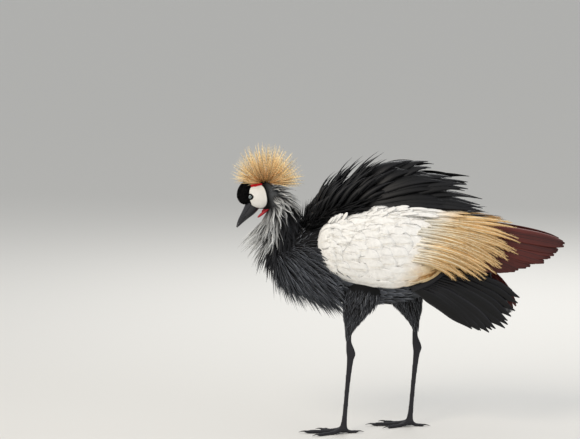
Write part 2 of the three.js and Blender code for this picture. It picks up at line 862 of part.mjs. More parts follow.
for (const node of nodes) {
  node.fatCore = node.core(gap);
  node.cutCore = node.core(0);
  for (const other of nodes) {
    if (other === node) break;
    node.cutCore = node.cutCore.subtract(other.fatCore);
  }
  node.cutCore = largest(node.cutCore);
}

const feathered = nodes
  .filter((node) => node.feathers)
  .sort((a, b) => Number(a.feathersLast ?? false) - Number(b.feathersLast ?? false));
const placedFeathers = [];
for (const node of feathered) {
  const blades = node.feathers();
  let plumage = joined(blades.map((b) => blade(b, 0)));
  for (const other of nodes) {
    if (other !== node) plumage = plumage.subtract(other.fatCore);
  }
  for (const placed of placedFeathers) plumage = plumage.subtract(placed);
  placedFeathers.push(joined(blades.map((b) => blade(b, gap))));
  node.plumage = plumage;
}

// Every node as a named mesh, with its origin on the floor under the middle of the bird.
const bird = new THREE.Group();
for (const node of nodes) {
  const whole = node.plumage ? node.cutCore.add(node.plumage) : node.cutCore;
  const kept = largest(whole);
  const { vertProperties, triVerts } = kept.getMesh();
  const geometry = new THREE.BufferGeometry()
    .setAttribute("position", new THREE.BufferAttribute(vertProperties, 3))
    .setIndex(new THREE.BufferAttribute(triVerts, 1));
  geometry.computeVertexNormals();
  const [color, roughness] = colours[node.look];
  const material = new THREE.MeshStandardMaterial({ color, roughness, metalness: 0 });
  const mesh = new THREE.Mesh(geometry, material);
  mesh.name = node.name;
  bird.add(mesh);
}

export default bird;
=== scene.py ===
import math

import bpy
import numpy as np
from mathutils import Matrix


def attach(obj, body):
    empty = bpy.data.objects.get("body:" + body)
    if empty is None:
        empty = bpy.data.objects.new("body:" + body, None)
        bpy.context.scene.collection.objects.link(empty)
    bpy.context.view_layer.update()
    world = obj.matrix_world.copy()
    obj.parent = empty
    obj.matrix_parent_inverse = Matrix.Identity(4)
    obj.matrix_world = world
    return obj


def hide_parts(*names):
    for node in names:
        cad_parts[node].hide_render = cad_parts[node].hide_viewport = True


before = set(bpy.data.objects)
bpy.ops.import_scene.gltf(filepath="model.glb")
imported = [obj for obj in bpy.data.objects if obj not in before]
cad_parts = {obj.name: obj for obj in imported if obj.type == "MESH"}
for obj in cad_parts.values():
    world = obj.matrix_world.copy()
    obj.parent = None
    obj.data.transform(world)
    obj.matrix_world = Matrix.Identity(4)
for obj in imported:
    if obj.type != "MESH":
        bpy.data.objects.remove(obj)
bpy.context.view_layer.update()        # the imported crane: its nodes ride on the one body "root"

random = np.random.default_rng(11)
bodyName = "root"
left, right = -1, 1      # the bird's left side faces -Y
sideLetter = {left: "l", right: "r"}
down = np.array([0.0, 0.0, -1.0])


def unit(v):
    # v divided by its own length
    return v / np.maximum(np.linalg.norm(v, axis=-1, keepdims=True), 1e-9)


def vec(*rows):
    # rows of numbers as an array
    return np.array(rows, float)


def blend(a, b, t):
    # a at t = 0, b at t = 1, straight between
    return a + (b - a) * t


def smooth(low, high, x):
    # 0 below low, 1 above high, an S curve between
    s = np.clip((x - low) / (high - low), 0, 1)
    return s * s * (3 - 2 * s)


def spread(amount, *shape):
    # even draws between -amount and amount
    return random.uniform(-amount, amount, shape)


def scatter(n, *amounts):
    # n rows of even draws, each column between minus and plus its amount
    return spread(1, n, len(amounts)) * np.array(amounts)


def rowsOf(*columns):
    # columns side by side; a single number fills a whole column
    return np.stack(np.broadcast_arrays(*columns), -1)


def onLine(rows, t):
    # Catmull-Rom curve through the rows: t = 0 is the first row and 1 the last
    rows = np.asarray(rows, float)
    n = len(rows) - 1
    pad = np.vstack([2 * rows[0] - rows[1], rows, 2 * rows[-1] - rows[-2]])
    x = np.clip(np.asarray(t, float), 0, 1) * n
    i = np.minimum(x.astype(int), n - 1)
    f = (x - i)[..., None]
    a, b, c, d = pad[i], pad[i + 1], pad[i + 2], pad[i + 3]
    return 0.5 * (2 * b + (c - a) * f + (2 * a - 5 * b + 4 * c - d) * f**2 + (3 * b - a - 3 * c + d) * f**3)


# body forms: oval sections [x, y, z, half width, half height] along a line, in mm
# angle 0 is the bird's right, 90 its back, 180 its left, 270 its underside
torsoForm = vec([-288, 0, 402, 12, 14], [-276, 0, 401, 34, 38], [-235, 0, 398, 58, 72], [-165, 0, 402, 76, 104],
                [-80, 0, 409, 84, 119], [15, 0, 414, 79, 113], [95, 0, 424, 56, 76], [160, 0, 430, 30, 36],
                [190, 0, 428, 16, 18])
neckForm = vec([-300, 0, 552, 19, 20], [-281, 0, 538, 22, 23], [-267, 0, 508, 25, 27], [-262, 0, 470, 30, 33],
               [-258, 0, 432, 40, 44], [-235, 0, 395, 50, 54])
mantleForm = vec([-214, 0, 458, 22, 20], [-190, 0, 480, 44, 30], [-150, 0, 502, 56, 34], [-100, 0, 518, 58, 32],
                 [-50, 0, 528, 46, 26], [-14, 0, 532, 22, 15])
rumpForm = vec([120, 0, 424, 30, 26], [160, 0, 410, 30, 24], [184, 0, 392, 28, 18], [194, 0, 381, 27, 13])
wingTable = vec([-184, 62, 436, 4, 14], [-180, 62, 436, 14, 32], [-170, 61, 436, 27, 51], [-148, 61, 436, 36, 65],
                [-112, 62, 433, 40, 77], [-70, 64, 432, 40, 86], [-32, 66, 435, 38, 92], [5, 63, 437, 37, 91],
                [40, 60, 438, 34, 86], [72, 56, 439, 30, 76], [92, 53, 440, 24, 64], [106, 51, 440, 12, 40])
billForm = vec([-328, 0, 531, 13, 17], [-338.5, 0, 515.5, 11.6, 15], [-349.3, 0, 501.8, 9, 10.8],
               [-358.8, 0, 490, 6.2, 7.4], [-365.3, 0, 480, 3.6, 4.3], [-369.6, 0, 473, 1.2, 1.4])
stance = {left: (-112, -46), right: (44, 46)}     # where each foot stands
toes = [("middle", 0, 90, 5.4), ("inner", 34, 64, 5.0), ("outer", -32, 72, 5.0), ("hind", 168, 36, 4.4)]


allRound = (-90, 270)


def mirrored(rows, side):
    # a form's or a line's rows with their y on the given side
    return rows * np.array([1, side, 1, 1, 1])[:rows.shape[-1]]


def shareAt(form, x):
    # how far along a form its middle line passes x
    u = np.linspace(0, 1, 400)
    return np.interp(x, onLine(form, u)[:, 0], u)


def sectionAt(form, u, step=0.004):
    # a form's row at a share of its length, with the directions across and up its section
    along = unit(onLine(form, u + step)[..., :3] - onLine(form, u - step)[..., :3])
    up = unit(np.cross(along, np.array([0.0, 1.0, 0.0])))
    return onLine(form, u), unit(np.cross(up, along)), up


def pointOn(form, u, angle, grow=0.0):
    # centre + across * cos(angle) * half width + up * sin(angle) * half height
    row, across, up = sectionAt(form, np.clip(u, 0, 1))
    a = np.radians(angle)
    wide = (np.cos(a) * (row[..., 3] + grow))[..., None]
    high = (np.sin(a) * (row[..., 4] + grow))[..., None]
    return row[..., :3] + across * wide + up * high


def skinOf(form, u, angle, grow=0.0):
    # the surface point, its outward direction and its direction towards the form's far end
    u, angle = np.broadcast_arrays(np.asarray(u, float), np.asarray(angle, float))
    p = pointOn(form, u, angle, grow)
    along = unit(pointOn(form, u + 0.01, angle, grow) - pointOn(form, u - 0.01, angle, grow))
    around = pointOn(form, u, angle + 1, grow) - pointOn(form, u, angle - 1, grow)
    return p, unit(np.cross(around, along)), along


class Batch:
    # points (n, 3) in mm, groups of polygons of one size, and per-point values
    # home is the place whose markings a point takes: its own, or its feather's
    def __init__(self, points, polygons, along=None, across=None, tone=None, uv=None, home=None):
        n = len(points)
        self.points = points
        self.polygons = polygons
        self.along = np.zeros(n) if along is None else along
        self.across = np.ones(n) if across is None else across
        self.tone = np.full(n, 0.5) if tone is None else tone
        self.uv = np.zeros((n, 2)) if uv is None else uv
        self.home = points if home is None else home


def joined(batches):
    # many batches as one, their polygons counted on
    offset, groups = 0, []
    for b in batches:
        groups += [g + offset for g in b.polygons]
        offset += len(b.points)
    stacked = [np.concatenate([getattr(b, key) for b in batches])
               for key in ("points", "along", "across", "tone", "uv", "home")]
    return Batch(stacked[0], groups, *stacked[1:])


def meshOf(name, b):
    # the batch as a smooth mesh in metres, and the point of each face corner
    mesh = bpy.data.meshes.new(name)
    mesh.vertices.add(len(b.points))
    mesh.vertices.foreach_set("co", (b.points * 0.001).ravel())
    loops = np.concatenate([g.ravel() for g in b.polygons])
    totals = np.concatenate([np.full(len(g), g.shape[1]) for g in b.polygons])
    starts = np.concatenate([[0], np.cumsum(totals)[:-1]])
    mesh.loops.add(len(loops))
    mesh.loops.foreach_set("vertex_index", loops)
    mesh.polygons.add(len(totals))
    mesh.polygons.foreach_set("loop_start", starts)
    mesh.polygons.foreach_set("loop_total", totals)
    mesh.polygons.foreach_set("use_smooth", np.ones(len(totals), bool))
    mesh.update(calc_edges=True)
    return mesh, loops


def newObject(name, data):
    obj = bpy.data.objects.new(name, data)
    bpy.context.scene.collection.objects.link(obj)
    return obj


def piece(name, batches, material, nodes, marks=None):
    # one object that rides on the body in place of the named nodes; marks are functions of a place
    b = joined(batches)
    mesh, loops = meshOf(name, b)
    values = {"along": b.along, "across": b.across, "tone": b.tone}
    values.update({key: rule(b.home) for key, rule in (marks or {}).items()})
    for key, value in values.items():
        mesh.attributes.new(key, "FLOAT", "POINT").data.foreach_set("value", value)
    if b.uv.any():
        layer = mesh.uv_layers.new(name="OFBake")
        layer.data.foreach_set("uv", b.uv[loops].ravel())
    mesh.materials.append(material)
    obj = newObject(name, mesh)
    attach(obj, bodyName)
    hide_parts(*nodes)
    print(f"{name}: {sum(len(g) * (g.shape[1] - 2) for g in b.polygons)} triangles")
    return obj


def gridFaces(rows, columns):
    # quads of a tube of rows rings, each of columns points
    i = np.arange(rows - 1)[:, None] * columns
    k = np.arange(columns)[None, :]
    n = (k + 1) % columns
    return np.stack([i + k, i + n, i + columns + n, i + columns + k], -1).reshape(-1, 4)


def closedFaces(rings, sides, flip=False):
    # a tube's quads and the flat polygon that closes each end, turned over by flip
    ring = np.arange(sides)[None]
    faces = [gridFaces(rings, sides), ring[:, ::-1], ring + (rings - 1) * sides]
    return [f[:, ::-1] for f in faces] if flip else faces


def sharesAndAngles(rings, sides):
    # the share along a form and the angle round it for each point of its rings
    return np.broadcast_arrays(np.linspace(0, 1, rings)[:, None],
                               np.linspace(0, 360, sides, endpoint=False)[None, :])


def unwrapped(u, angle):
    # a form's unwrap: its share across the map and its angle up it, inside a margin
    return 0.03 + 0.94 * rowsOf(np.clip(u, 0, 1), np.mod(angle, 360) / 360)


def tube(form, grow=0.0, rings=40, sides=32):
    # a body form as a closed skin, grown outwards
    u, angle = sharesAndAngles(rings, sides)
    return Batch(pointOn(form, u, angle, grow).reshape(-1, 3), closedFaces(rings, sides),
                 uv=unwrapped(u, angle).reshape(-1, 2))


poleGap = 0.012


def ballGrid(rings, sides):
    # directions from a ball's middle, a little short of its poles at +X and -X, with the faces of such a grid
    t, a = np.broadcast_arrays(np.linspace(poleGap, 1 - poleGap, rings)[:, None] * math.pi,
                               np.linspace(0, 2 * math.pi, sides, endpoint=False)[None, :])
    ray = rowsOf(np.cos(t), np.sin(t) * np.cos(a), np.sin(t) * np.sin(a)).reshape(-1, 3)
    return ray, closedFaces(rings, sides, True)


def pitched(p, degrees):
    # points turned about Y
    c, s = math.cos(math.radians(degrees)), math.sin(math.radians(degrees))
    return p @ np.array([[c, 0, -s], [0, 1, 0], [s, 0, c]])


def ellipsoid(centre, radii, pitch=0.0, rings=24, sides=32):
    # a ball stretched to three radii and pitched about Y
    ray, faces = ballGrid(rings, sides)
    return Batch(pitched(ray * np.array(radii, float), pitch) + np.array(centre, float), faces)


# outlines: the share of a feather's width at a share of its length, from a narrow root to the tip
def roundTip(t):
    return (0.5 + 0.5 * smooth(0, 0.4, t)) * np.sqrt(np.clip(1 - (np.clip(t - 0.7, 0, 1) / 0.305) ** 2, 0, 1))


def vaneTip(t):
    return (0.45 + 0.55 * smooth(0, 0.3, t)) * np.clip(1 - smooth(0.66, 1.05, t), 0, 1) ** 0.8


def lance(t):
    return (0.5 + 0.5 * smooth(0, 0.3, t)) * np.clip(1 - smooth(0.35, 1.06, t), 0, 1) ** 0.8


def needle(t):
    return np.clip(1 - 0.85 * t, 0, 1)


def bristle(t):
    return 1 - 0.75 * t**4


def hairTip(t):
    return (0.7 + 0.3 * smooth(0, 0.3, t)) * np.clip(1 - 0.95 * smooth(0.35, 1.02, t), 0, 1)


def bentPaths(root, leave, arrive, rings):
    # root + leave * (t - t*t/2) + arrive * t*t/2: a path starts along leave and ends along arrive
    t = np.linspace(0, 1, rings)[None, :, None]
    return root[:, None] + leave[:, None] * (t - t * t / 2) + arrive[:, None] * (t * t / 2)


def bowedPaths(root, control, tip, rings):
    # from root to tip, drawn towards a control place
    return bentPaths(root, 2 * (control - root), 2 * (tip - control), rings)


def sidesOf(path, face):
    # along each path, the way across it and the way out of it
    tangent = unit(np.gradient(path, axis=1))
    side = unit(np.cross(tangent, face[:, None]))
    return tangent, side, np.cross(side, tangent)


patchSize = 0.003        # the share of the OFBake map that each feather or hair takes
strandStep = 0.001       # its step from strand to strand, per mm
barbShift = 0.002        # its step to the barbs of either side


def ribbons(path, face, width, look, uv, tone=None):
    # each path carries a flat lens: its half width is width/2 * outline(t) with frayed edges, and its middle is
    # thick/2 * outline(t) high on both faces; at the share v across, it is lowered by camber * half width * v*v and
    # pushed towards the tip by swept * width * abs(v)**1.5 * (1 - t)
    n, rings = path.shape[:2]
    t = np.linspace(0, 1, rings)
    tangent, side, out = sidesOf(path, face)
    turn = math.radians(look.get("lean", 0))
    side, out = side * math.cos(turn) + out * math.sin(turn), out * math.cos(turn) - side * math.sin(turn)
    taper = np.maximum(look["outline"](t), 0.05)[None, :, None]
    half = taper * np.broadcast_to(width, n)[:, None, None] / 2
    columns = look.get("columns", 3)
    v = np.linspace(-1, 1, columns)
    v = np.concatenate([v, v[-2:0:-1]])
    upper = np.concatenate([np.ones(columns), -np.ones(columns - 2)])
    ring = len(v)
    notch = random.uniform(0, 1, (n, rings, 2)) ** 2 * look.get("fray", 0.0)
    edge = 1 - np.where(v > 0, notch[..., :1], notch[..., 1:]) * (np.abs(v) > 0.9)
    swept = look.get("swept", 0.0) * np.abs(v) ** 1.5 * half * 2 * (1 - t)[None, :, None]
    high = look["thick"] / 2 * (1 - v**2) * upper * taper - look.get("camber", 0) * v**2 * half
    points = (path[:, :, None] + side[:, :, None] * (v * half * edge)[..., None]
              + out[:, :, None] * high[..., None] + tangent[:, :, None] * swept[..., None])
    each = rings * ring
    base = (np.arange(n) * each)[:, None, None]
    quads = (gridFaces(rings, ring)[None] + base).reshape(-1, 4)
    first = np.arange(ring)[::-1][None] + base[:, 0]
    last = np.arange(ring)[None] + (rings - 1) * ring + base[:, 0]
    along = np.broadcast_to(t[None, :, None], (n, rings, ring))
    across = np.broadcast_to(v[None, None, :], (n, rings, ring))
    tone = random.uniform(0, 1, n) if tone is None else tone
    uvs = (np.asarray(uv)[:, None, None] + rowsOf(along - 0.5, across * 0.5) * patchSize).reshape(-1, 2)
    home = np.repeat(path[:, rings // 2], each, axis=0) if look.get("whole") else None
    return Batch(points.reshape(-1, 3), [quads, first, last], along.ravel(), across.ravel(), np.repeat(tone, each),
                 uvs, home)


def rowsOn(form, shares, spacing, angles, jitter=0.35):
    # staggered rows round a form: one row per share, its members a set distance apart between two angles
    us, aa = [], []
    for r, u in enumerate(shares):
        row = onLine(form, np.array([u]))[0]
        around = math.pi * (row[3] + row[4]) * (angles[1] - angles[0]) / 360
        count = max(3, int(around / spacing))
        step = (angles[1] - angles[0]) / count
        aa.append(angles[0] + (np.arange(count) + 0.5 * (r % 2) + spread(jitter, count)) * step)
        us.append(np.full(count, u) + spread(jitter, count) * (shares[1] - shares[0]))
    return np.concatenate(us), np.concatenate(aa)


def lockPaths(path, out, look):
    # k strands for each path: they start apart, share one wave that grows along them, and meet at the tip
    n, k, t = len(path), look["strands"], np.linspace(0, 1, look["rings"])
    _, side, over = sidesOf(path, out)
    wave = np.sin(2 * math.pi * (look["turns"] * t[None] + random.uniform(0, 1, (n, 1)))) * t * look["wave"]
    path = path + side * wave[..., None]
    start = spread(look["open"], n, k, 2)
    finish = start * look["close"] + spread(look["tips"], n, k, 2)
    t = t[None, None, :, None]
    off = start[:, :, None] * (1 - t) + finish[:, :, None] * t
    path = path[:, None] + side[:, None] * off[..., :1] + over[:, None] * off[..., 1:] * look["flat"]
    return path.reshape(n * k, -1, 3), start.reshape(-1, 2)


def growOn(form, u, angle, look, grow=0.0):
    # feathers laid along a form: leave = along + lift * out, arrive = along + flare * out + fall * down, both with
    # some stray across; bib adds to lift, and 0.6 of it to flare, underneath; with strands, each is a lock of hairs
    # whose tones are half the lock's and half their own
    p, out, along = skinOf(form, u, angle, grow)
    n = len(u)

    def value(key):
        entry = look.get(key, 0)
        return np.interp(u, look["u"], entry) if np.ndim(entry) else entry

    under = value("bib") * np.clip(-np.sin(np.radians(angle)), 0, 1)
    length = (value("length") * random.uniform(0.82, 1.18, n) * (1 + 0.3 * under))[:, None]
    lift = (value("lift") + under + spread(look["loose"], n))[:, None]
    flare = (value("flare") + 0.6 * under + spread(look["loose"], n))[:, None]
    fall = np.broadcast_to(value("fall"), n)[:, None]
    stray = unit(np.cross(along, out)) * spread(look["stray"], n, 1)
    leave = unit(along + out * lift + stray) * length
    arrive = unit(along + out * flare + stray * 2 + down * fall) * length
    width = look["width"] * random.uniform(0.8, 1.2, n)
    path = bentPaths(p - out * look["sink"], leave, arrive, look["rings"])
    if "strands" not in look:
        return ribbons(path, out, width, look, unwrapped(u, angle))
    k = look["strands"]
    tone = np.clip(np.repeat(random.uniform(0, 0.5, n), k) + random.uniform(0, 0.5, n * k), 0, 1)
    path, start = lockPaths(path, out, look)
    uv = np.repeat(unwrapped(u, angle), k, axis=0) + start * strandStep
    return ribbons(path, np.repeat(out, k, axis=0), np.repeat(width, k), look, uv, tone)


def coat(form, shares, spacing, angles, look, grow=0.0):
    # rows of feathers over part of a form
    return growOn(form, *rowsOn(form, shares, spacing, angles), look, grow)


barb = {"rings": 4, "jitter": 9, "rise": (-0.1, 0.2), "length": (0.7, 1.2), "bend": (0.5, 0.6), "tip": 0.12,
        "flat": 0.6}


def barbsOn(path, face, look, row, column=None):
    # hair-like barbs along both sides of each shaft: away = tangent * cos(opening) + side * sin(opening), curving
    # towards the tip by bend: away * first + tangent * second + down * droop
    n, m = len(path), look["barbs"]
    tangent, side, out = sidesOf(path, face)
    t = np.sort(random.uniform(*look["span"], (n, m)), axis=1)
    at = t * (path.shape[1] - 1)
    i = np.minimum(at.astype(int), path.shape[1] - 2)[..., None]
    f = at[..., None] - i
    p, tangent, side, out = (np.take_along_axis(a, i, 1) * (1 - f) + np.take_along_axis(a, i + 1, 1) * f
                             for a in (path, tangent, side, out))
    sign = np.where(np.arange(m) % 2 == 0, 1, -1)[None, :]
    reach = (look["reach"](t) * random.uniform(*barb["length"], (n, m)))[..., None]
    opening = np.radians(look["opening"] + spread(barb["jitter"], n, m))
    away = tangent * np.cos(opening)[..., None] + side * (sign * np.sin(opening))[..., None]
    leaving = unit(away + out * random.uniform(*barb["rise"], (n, m, 1))) * reach
    first, second = barb["bend"]
    ending = unit(away * first + tangent * second + down * look["droop"] + spread(barb["tip"], n, m, 3)) * reach
    column = 0.03 + 0.92 * t if column is None else column
    uv = rowsOf(column, row[:, None] + barbShift * sign, t)[..., :2].reshape(-1, 2)
    paths = bentPaths(p.reshape(-1, 3), leaving.reshape(-1, 3), ending.reshape(-1, 3), barb["rings"])
    hair = {"outline": needle, "thick": look["hair"] * barb["flat"]}
    return ribbons(paths, out.reshape(-1, 3), look["hair"], hair, uv)


# the head, with its markings as functions of a place in mm
head = {
    "centre": (-323.0, 0.0, 549.0),
    "balls": [  # centre, radii, pitch
        ((-320, 0, 549), (37, 22.5, 30), 38),
        ((-348, 0, 553), (20, 19, 26.5), 14),
        ((-302, 0, 562), (21, 17, 17), 30),
    ],
    "cheek": {"centre": (-320.3, 545.6), "half": (19.2, 27.6), "turn": 10, "power": 2.6, "rise": 2.4},
    "red": {"from": -338.0, "to": -310.5, "middle": (572.6, 574.4), "half": (5.0, 1.8), "rise": 1.4},
    "eye": {"centre": (-338.3, 14.9, 545.6), "radius": 6.2, "opening": 4.5, "iris": 3.5, "lid": 1.4,
            "lidAway": 1.1, "lidWidth": 0.9, "deep": 4.0},
    "soft": 1.6, "slate": (-300, -284), "slateLow": (480, 500),
}
paleEdge = vec([-420, 380], [-354, 401], [-316, 412], [-281, 436], [-271, 454], [-268, 497], [-225, 524],
               [-150, 560])


def eyeAway(p):
    # distance from the eye's middle, seen from the side
    e = head["eye"]["centre"]
    return np.hypot(p[:, 0] - e[0], p[:, 2] - e[2])


def onSide(p):
    # 1 on the sides of the head, 0 near its middle
    return smooth(8, 13, np.abs(p[:, 1]))


def redMark(p):
    # a patch over the cheek, tall in front and narrow behind
    r = head["red"]
    t = (p[:, 0] - r["from"]) / (r["to"] - r["from"])
    half = blend(*r["half"], t) * np.sqrt(np.clip(1 - np.abs(2 * t - 1) ** 5, 0, 1)) * (1 + 0.12 * np.sin(t * 17))
    away = np.abs(p[:, 2] - blend(*r["middle"], t)) / np.maximum(half, 0.5)
    ends = smooth(-0.04, 0.03, t) * smooth(1.03, 0.96, t)
    return smooth(1.15, 0.9, away) * ends * smooth(5, 8, np.abs(p[:, 1]))


def cheekMark(p):
    # a tall rounded patch that leans forwards at its top, cut back round the eye
    c = head["cheek"]
    a = math.radians(c["turn"])
    dx, dz = p[:, 0] - c["centre"][0], p[:, 2] - c["centre"][1]
    wide = np.abs(dx * math.cos(a) + dz * math.sin(a)) / c["half"][0]
    high = np.abs(dz * math.cos(a) - dx * math.sin(a)) / c["half"][1]
    r = (wide ** c["power"] + high ** c["power"]) ** (1 / c["power"])
    return smooth(1.05, 0.98, r) * smooth(7.0, 8.0, eyeAway(p)) * onSide(p) * (1 - redMark(p))


def slateMark(p):
    # 1 on the slate side of the head behind the cheek
    return smooth(*head["slate"], p[:, 0] + 0.25 * (p[:, 2] - 545)) * smooth(*head["slateLow"], p[:, 2])


def legMark(p):
    # 1 on the bare shanks and feet
    return smooth(252, 240, p[:, 2])


def paleMark(p):
    # 1 for the pale hackles above one slanting edge, 0 for the black ones below and behind it
    edge = np.interp(p[:, 0], paleEdge[:, 0], paleEdge[:, 1])
    return smooth(-9, 9, p[:, 2] - edge + 5 * np.sin(p[:, 0] * 0.5 + p[:, 1] * 0.4))


blackEdge = vec([-260, 396], [-200, 412], [-120, 400])


def blackMark(p):
    # 1 for the black body feathers over the shoulders, 0 for the slate ones below
    return smooth(0, 30, p[:, 2] - np.interp(p[:, 0], blackEdge[:, 0], blackEdge[:, 1]))


goldEdge = {"from": (28, 118), "slant": 0.55, "level": 440, "wave": 7}


def goldMark(p):
    # 0 at the white front of the wing, 1 in the straw gold of its rear, along a wavy slanting edge
    wave = goldEdge["wave"] * np.sin(p[:, 2] * 0.21) * np.sin(p[:, 0] * 0.13)
    return smooth(*goldEdge["from"], p[:, 0] - goldEdge["slant"] * (p[:, 2] - goldEdge["level"]) + wave)


def colour(code):
    # a hex colour as the linear values that the shader takes
    c = np.array([int(code[i:i + 2], 16) for i in (1, 3, 5)]) / 255
    lin = np.where(c <= 0.04045, c / 12.92, ((c + 0.055) / 1.055) ** 2.4)
    return (*lin.tolist(), 1.0)


def put(tree, kind, inputs=None, **settings):
    # adds a node, sets its options and fills its inputs with values or links
    n = tree.nodes.new(kind)
    for key, value in settings.items():
        setattr(n, key, value)
    for key, value in (inputs or {}).items():
        if isinstance(value, bpy.types.NodeSocket):
            tree.links.new(value, n.inputs[key])
        else:
            n.inputs[key].default_value = value
    return n


def maths(tree, operation, *values):
    return put(tree, "ShaderNodeMath", dict(enumerate(values)), operation=operation).outputs[0]


def between(tree, value, low, high, kind="SMOOTHSTEP"):
    # 0 below low, 1 above high
    values = {"Value": value, "From Min": low, "From Max": high}
    return put(tree, "ShaderNodeMapRange", values, interpolation_type=kind).outputs[0]


def mixed(tree, factor, a, b, kind="MIX"):
    # two colours by a factor
    return put(tree, "ShaderNodeMix", {0: factor, 6: a, 7: b}, data_type="RGBA", blend_type=kind).outputs[2]


def scaled(tree, shade, amount):
    # a colour times 1 + amount
    one = maths(tree, "ADD", amount, 1.0)
    grey = put(tree, "ShaderNodeCombineColor", {0: one, 1: one, 2: one}).outputs[0]
    return mixed(tree, 1.0, shade, grey, "MULTIPLY")


def attribute(tree, name):
    return put(tree, "ShaderNodeAttribute", attribute_name=name).outputs["Fac"]


def noise(tree, scale, detail=2.0):
    place = put(tree, "ShaderNodeTexCoord").outputs["Object"]
    return put(tree, "ShaderNodeTexNoise", {"Vector": place, "Scale": scale, "Detail": detail}).outputs["Fac"]


featherColours = ("base", "tip", "markedBase", "markedTip", "shaft", "edge")
featherShares = {"tipStart": 0.7, "tipEnd": 1.0, "shaftWidth": 0.0, "edgeAmount": 0.0, "variation": 0.3,
                 "barbs": 160.0, "bands": 0.0, "bandAmount": 0.0}


def featherGroup():
    # feather colour from base to tip, its marked second colours, pale edges (a painted highlight on the black flight
    # feathers), shaft and bands, and its barbs' height
    g = bpy.data.node_groups.new("featherSurface", "ShaderNodeTree")
    for names, kind in ((featherColours, "NodeSocketColor"), (featherShares, "NodeSocketFloat")):
        for name in names:
            g.interface.new_socket(name, in_out="INPUT", socket_type=kind)
    g.interface.new_socket("Color", in_out="OUTPUT", socket_type="NodeSocketColor")
    g.interface.new_socket("Height", in_out="OUTPUT", socket_type="NodeSocketFloat")
    a = g.nodes.new("NodeGroupInput").outputs
    z = g.nodes.new("NodeGroupOutput").inputs
    along, across, tone, mark = (attribute(g, key) for key in ("along", "across", "tone", "mark"))
    tip = between(g, along, a["tipStart"], a["tipEnd"], "LINEAR")
    body = mixed(g, mark, mixed(g, tip, a["base"], a["tip"]), mixed(g, tip, a["markedBase"], a["markedTip"]))
    wide = maths(g, "ABSOLUTE", across)
    # edge colour towards the sides: a pale edge on some feathers, a painted highlight on the black flight feathers
    body = mixed(g, maths(g, "MULTIPLY", between(g, wide, 0.5, 1.0), a["edgeAmount"]), body, a["edge"])
    body = mixed(g, maths(g, "LESS_THAN", wide, a["shaftWidth"]), body, a["shaft"])
    turns = maths(g, "ADD", maths(g, "MULTIPLY", along, a["bands"]), maths(g, "MULTIPLY", tone, 40.0))
    slant = maths(g, "SUBTRACT", along, maths(g, "MULTIPLY", wide, 0.16))
    lines = maths(g, "SINE", maths(g, "MULTIPLY", slant, a["barbs"]))
    amounts = [(maths(g, "SUBTRACT", tone, 0.5), a["variation"]), (maths(g, "SUBTRACT", noise(g, 140.0), 0.5), 0.3),
               (lines, 0.05), (maths(g, "SINE", turns), a["bandAmount"])]
    amount = 0.0
    for value, share in amounts:
        amount = maths(g, "ADD", maths(g, "MULTIPLY", value, share), amount)
    g.links.new(scaled(g, body, amount), z["Color"])
    g.links.new(lines, z["Height"])
    return g


featherSurface = featherGroup()


def newMaterial(name, rough, values=None):
    m = bpy.data.materials.new(name)
    m.use_nodes = True
    shader = m.node_tree.nodes["Principled BSDF"]
    for key, value in {"Roughness": rough, **(values or {})}.items():
        shader.inputs[key].default_value = value
    return m, m.node_tree, shader


def surface(tree, shader, shade, height, strength, distance):
    # the shader's colour, and its bump from a height
    bump = put(tree, "ShaderNodeBump", {"Height": height, "Strength": strength, "Distance": distance})
    tree.links.new(shade, shader.inputs["Base Color"])
    tree.links.new(bump.outputs[0], shader.inputs["Normal"])


def featherMaterial(name, base, tip=None, markedBase=None, markedTip=None, shaft=None, edge=None, rough=0.75,
                    shine=0.5, bump=0.1, **shares):
    m, t, s = newMaterial(name, rough, {"Specular IOR Level": shine})
    g = put(t, "ShaderNodeGroup", node_tree=featherSurface)
    markedBase = markedBase or base
    codes = (base, tip or base, markedBase, markedTip or markedBase, shaft or base, edge or base)
    for key, value in {**dict(zip(featherColours, map(colour, codes))), **featherShares, **shares}.items():
        g.inputs[key].default_value = value
    surface(t, s, g.outputs["Color"], g.outputs["Height"], bump, 0.0006)
    return m


wingFeather = featherMaterial("wingFeather", "#f5f2ec", tip="#f8f6f1", markedBase="#ecd2a2", markedTip="#dcb47a",
                              shaft="#efe9dc", shaftWidth=0.03, tipStart=0.3, variation=0.05, rough=0.95,
                              shine=0.15, bump=0.04)
goldHair = featherMaterial("goldHair", "#f4eedf", tip="#f1e6cc", markedBase="#efcf98", markedTip="#dfb273",
                           tipStart=0.3, variation=0.4, rough=0.8, shine=0.2)
goldShaft = featherMaterial("goldShaft", "#faf6ec", tip="#f7eccf", markedBase="#fff1cf", markedTip="#f8e0ae",
                            tipStart=0.6, variation=0.15, rough=0.5)
chestnutFeather = featherMaterial("chestnutFeather", "#531e17", tip="#431813", shaft="#2a100d", edge="#6a2b22",
                                  edgeAmount=0.5, shaftWidth=0.05, tipStart=0.6, variation=0.5, rough=0.6,
                                  shine=0.35, barbs=260.0)
# the pale edge colour of these black flight feathers is a painted highlight along each feather's edges
blackFlight = featherMaterial("blackFlight", "#0a0a0c", tip="#101013", shaft="#040405", edge="#27272b",
                              edgeAmount=0.6, shaftWidth=0.06, variation=0.9, rough=0.4, shine=0.28, barbs=220.0)
blackPlume = featherMaterial("blackPlume", "#0d0d0e", tip="#17171a", shaft="#060607", shaftWidth=0.1, tipStart=0.4,
                             variation=0.7, rough=0.45, shine=0.24)
bodyFeather = featherMaterial("bodyFeather", "#26282c", tip="#4d5056", edge="#a3a6ac", edgeAmount=0.7,
                              markedBase="#08080a", markedTip="#131316", tipStart=0.3, variation=1.0, rough=0.7,
                              shine=0.18)
hackle = featherMaterial("hackle", "#0e0e10", tip="#303135", markedBase="#37383a", markedTip="#d6d7d5",
                         tipStart=0.05, tipEnd=0.75, variation=1.3, rough=0.7, shine=0.3)
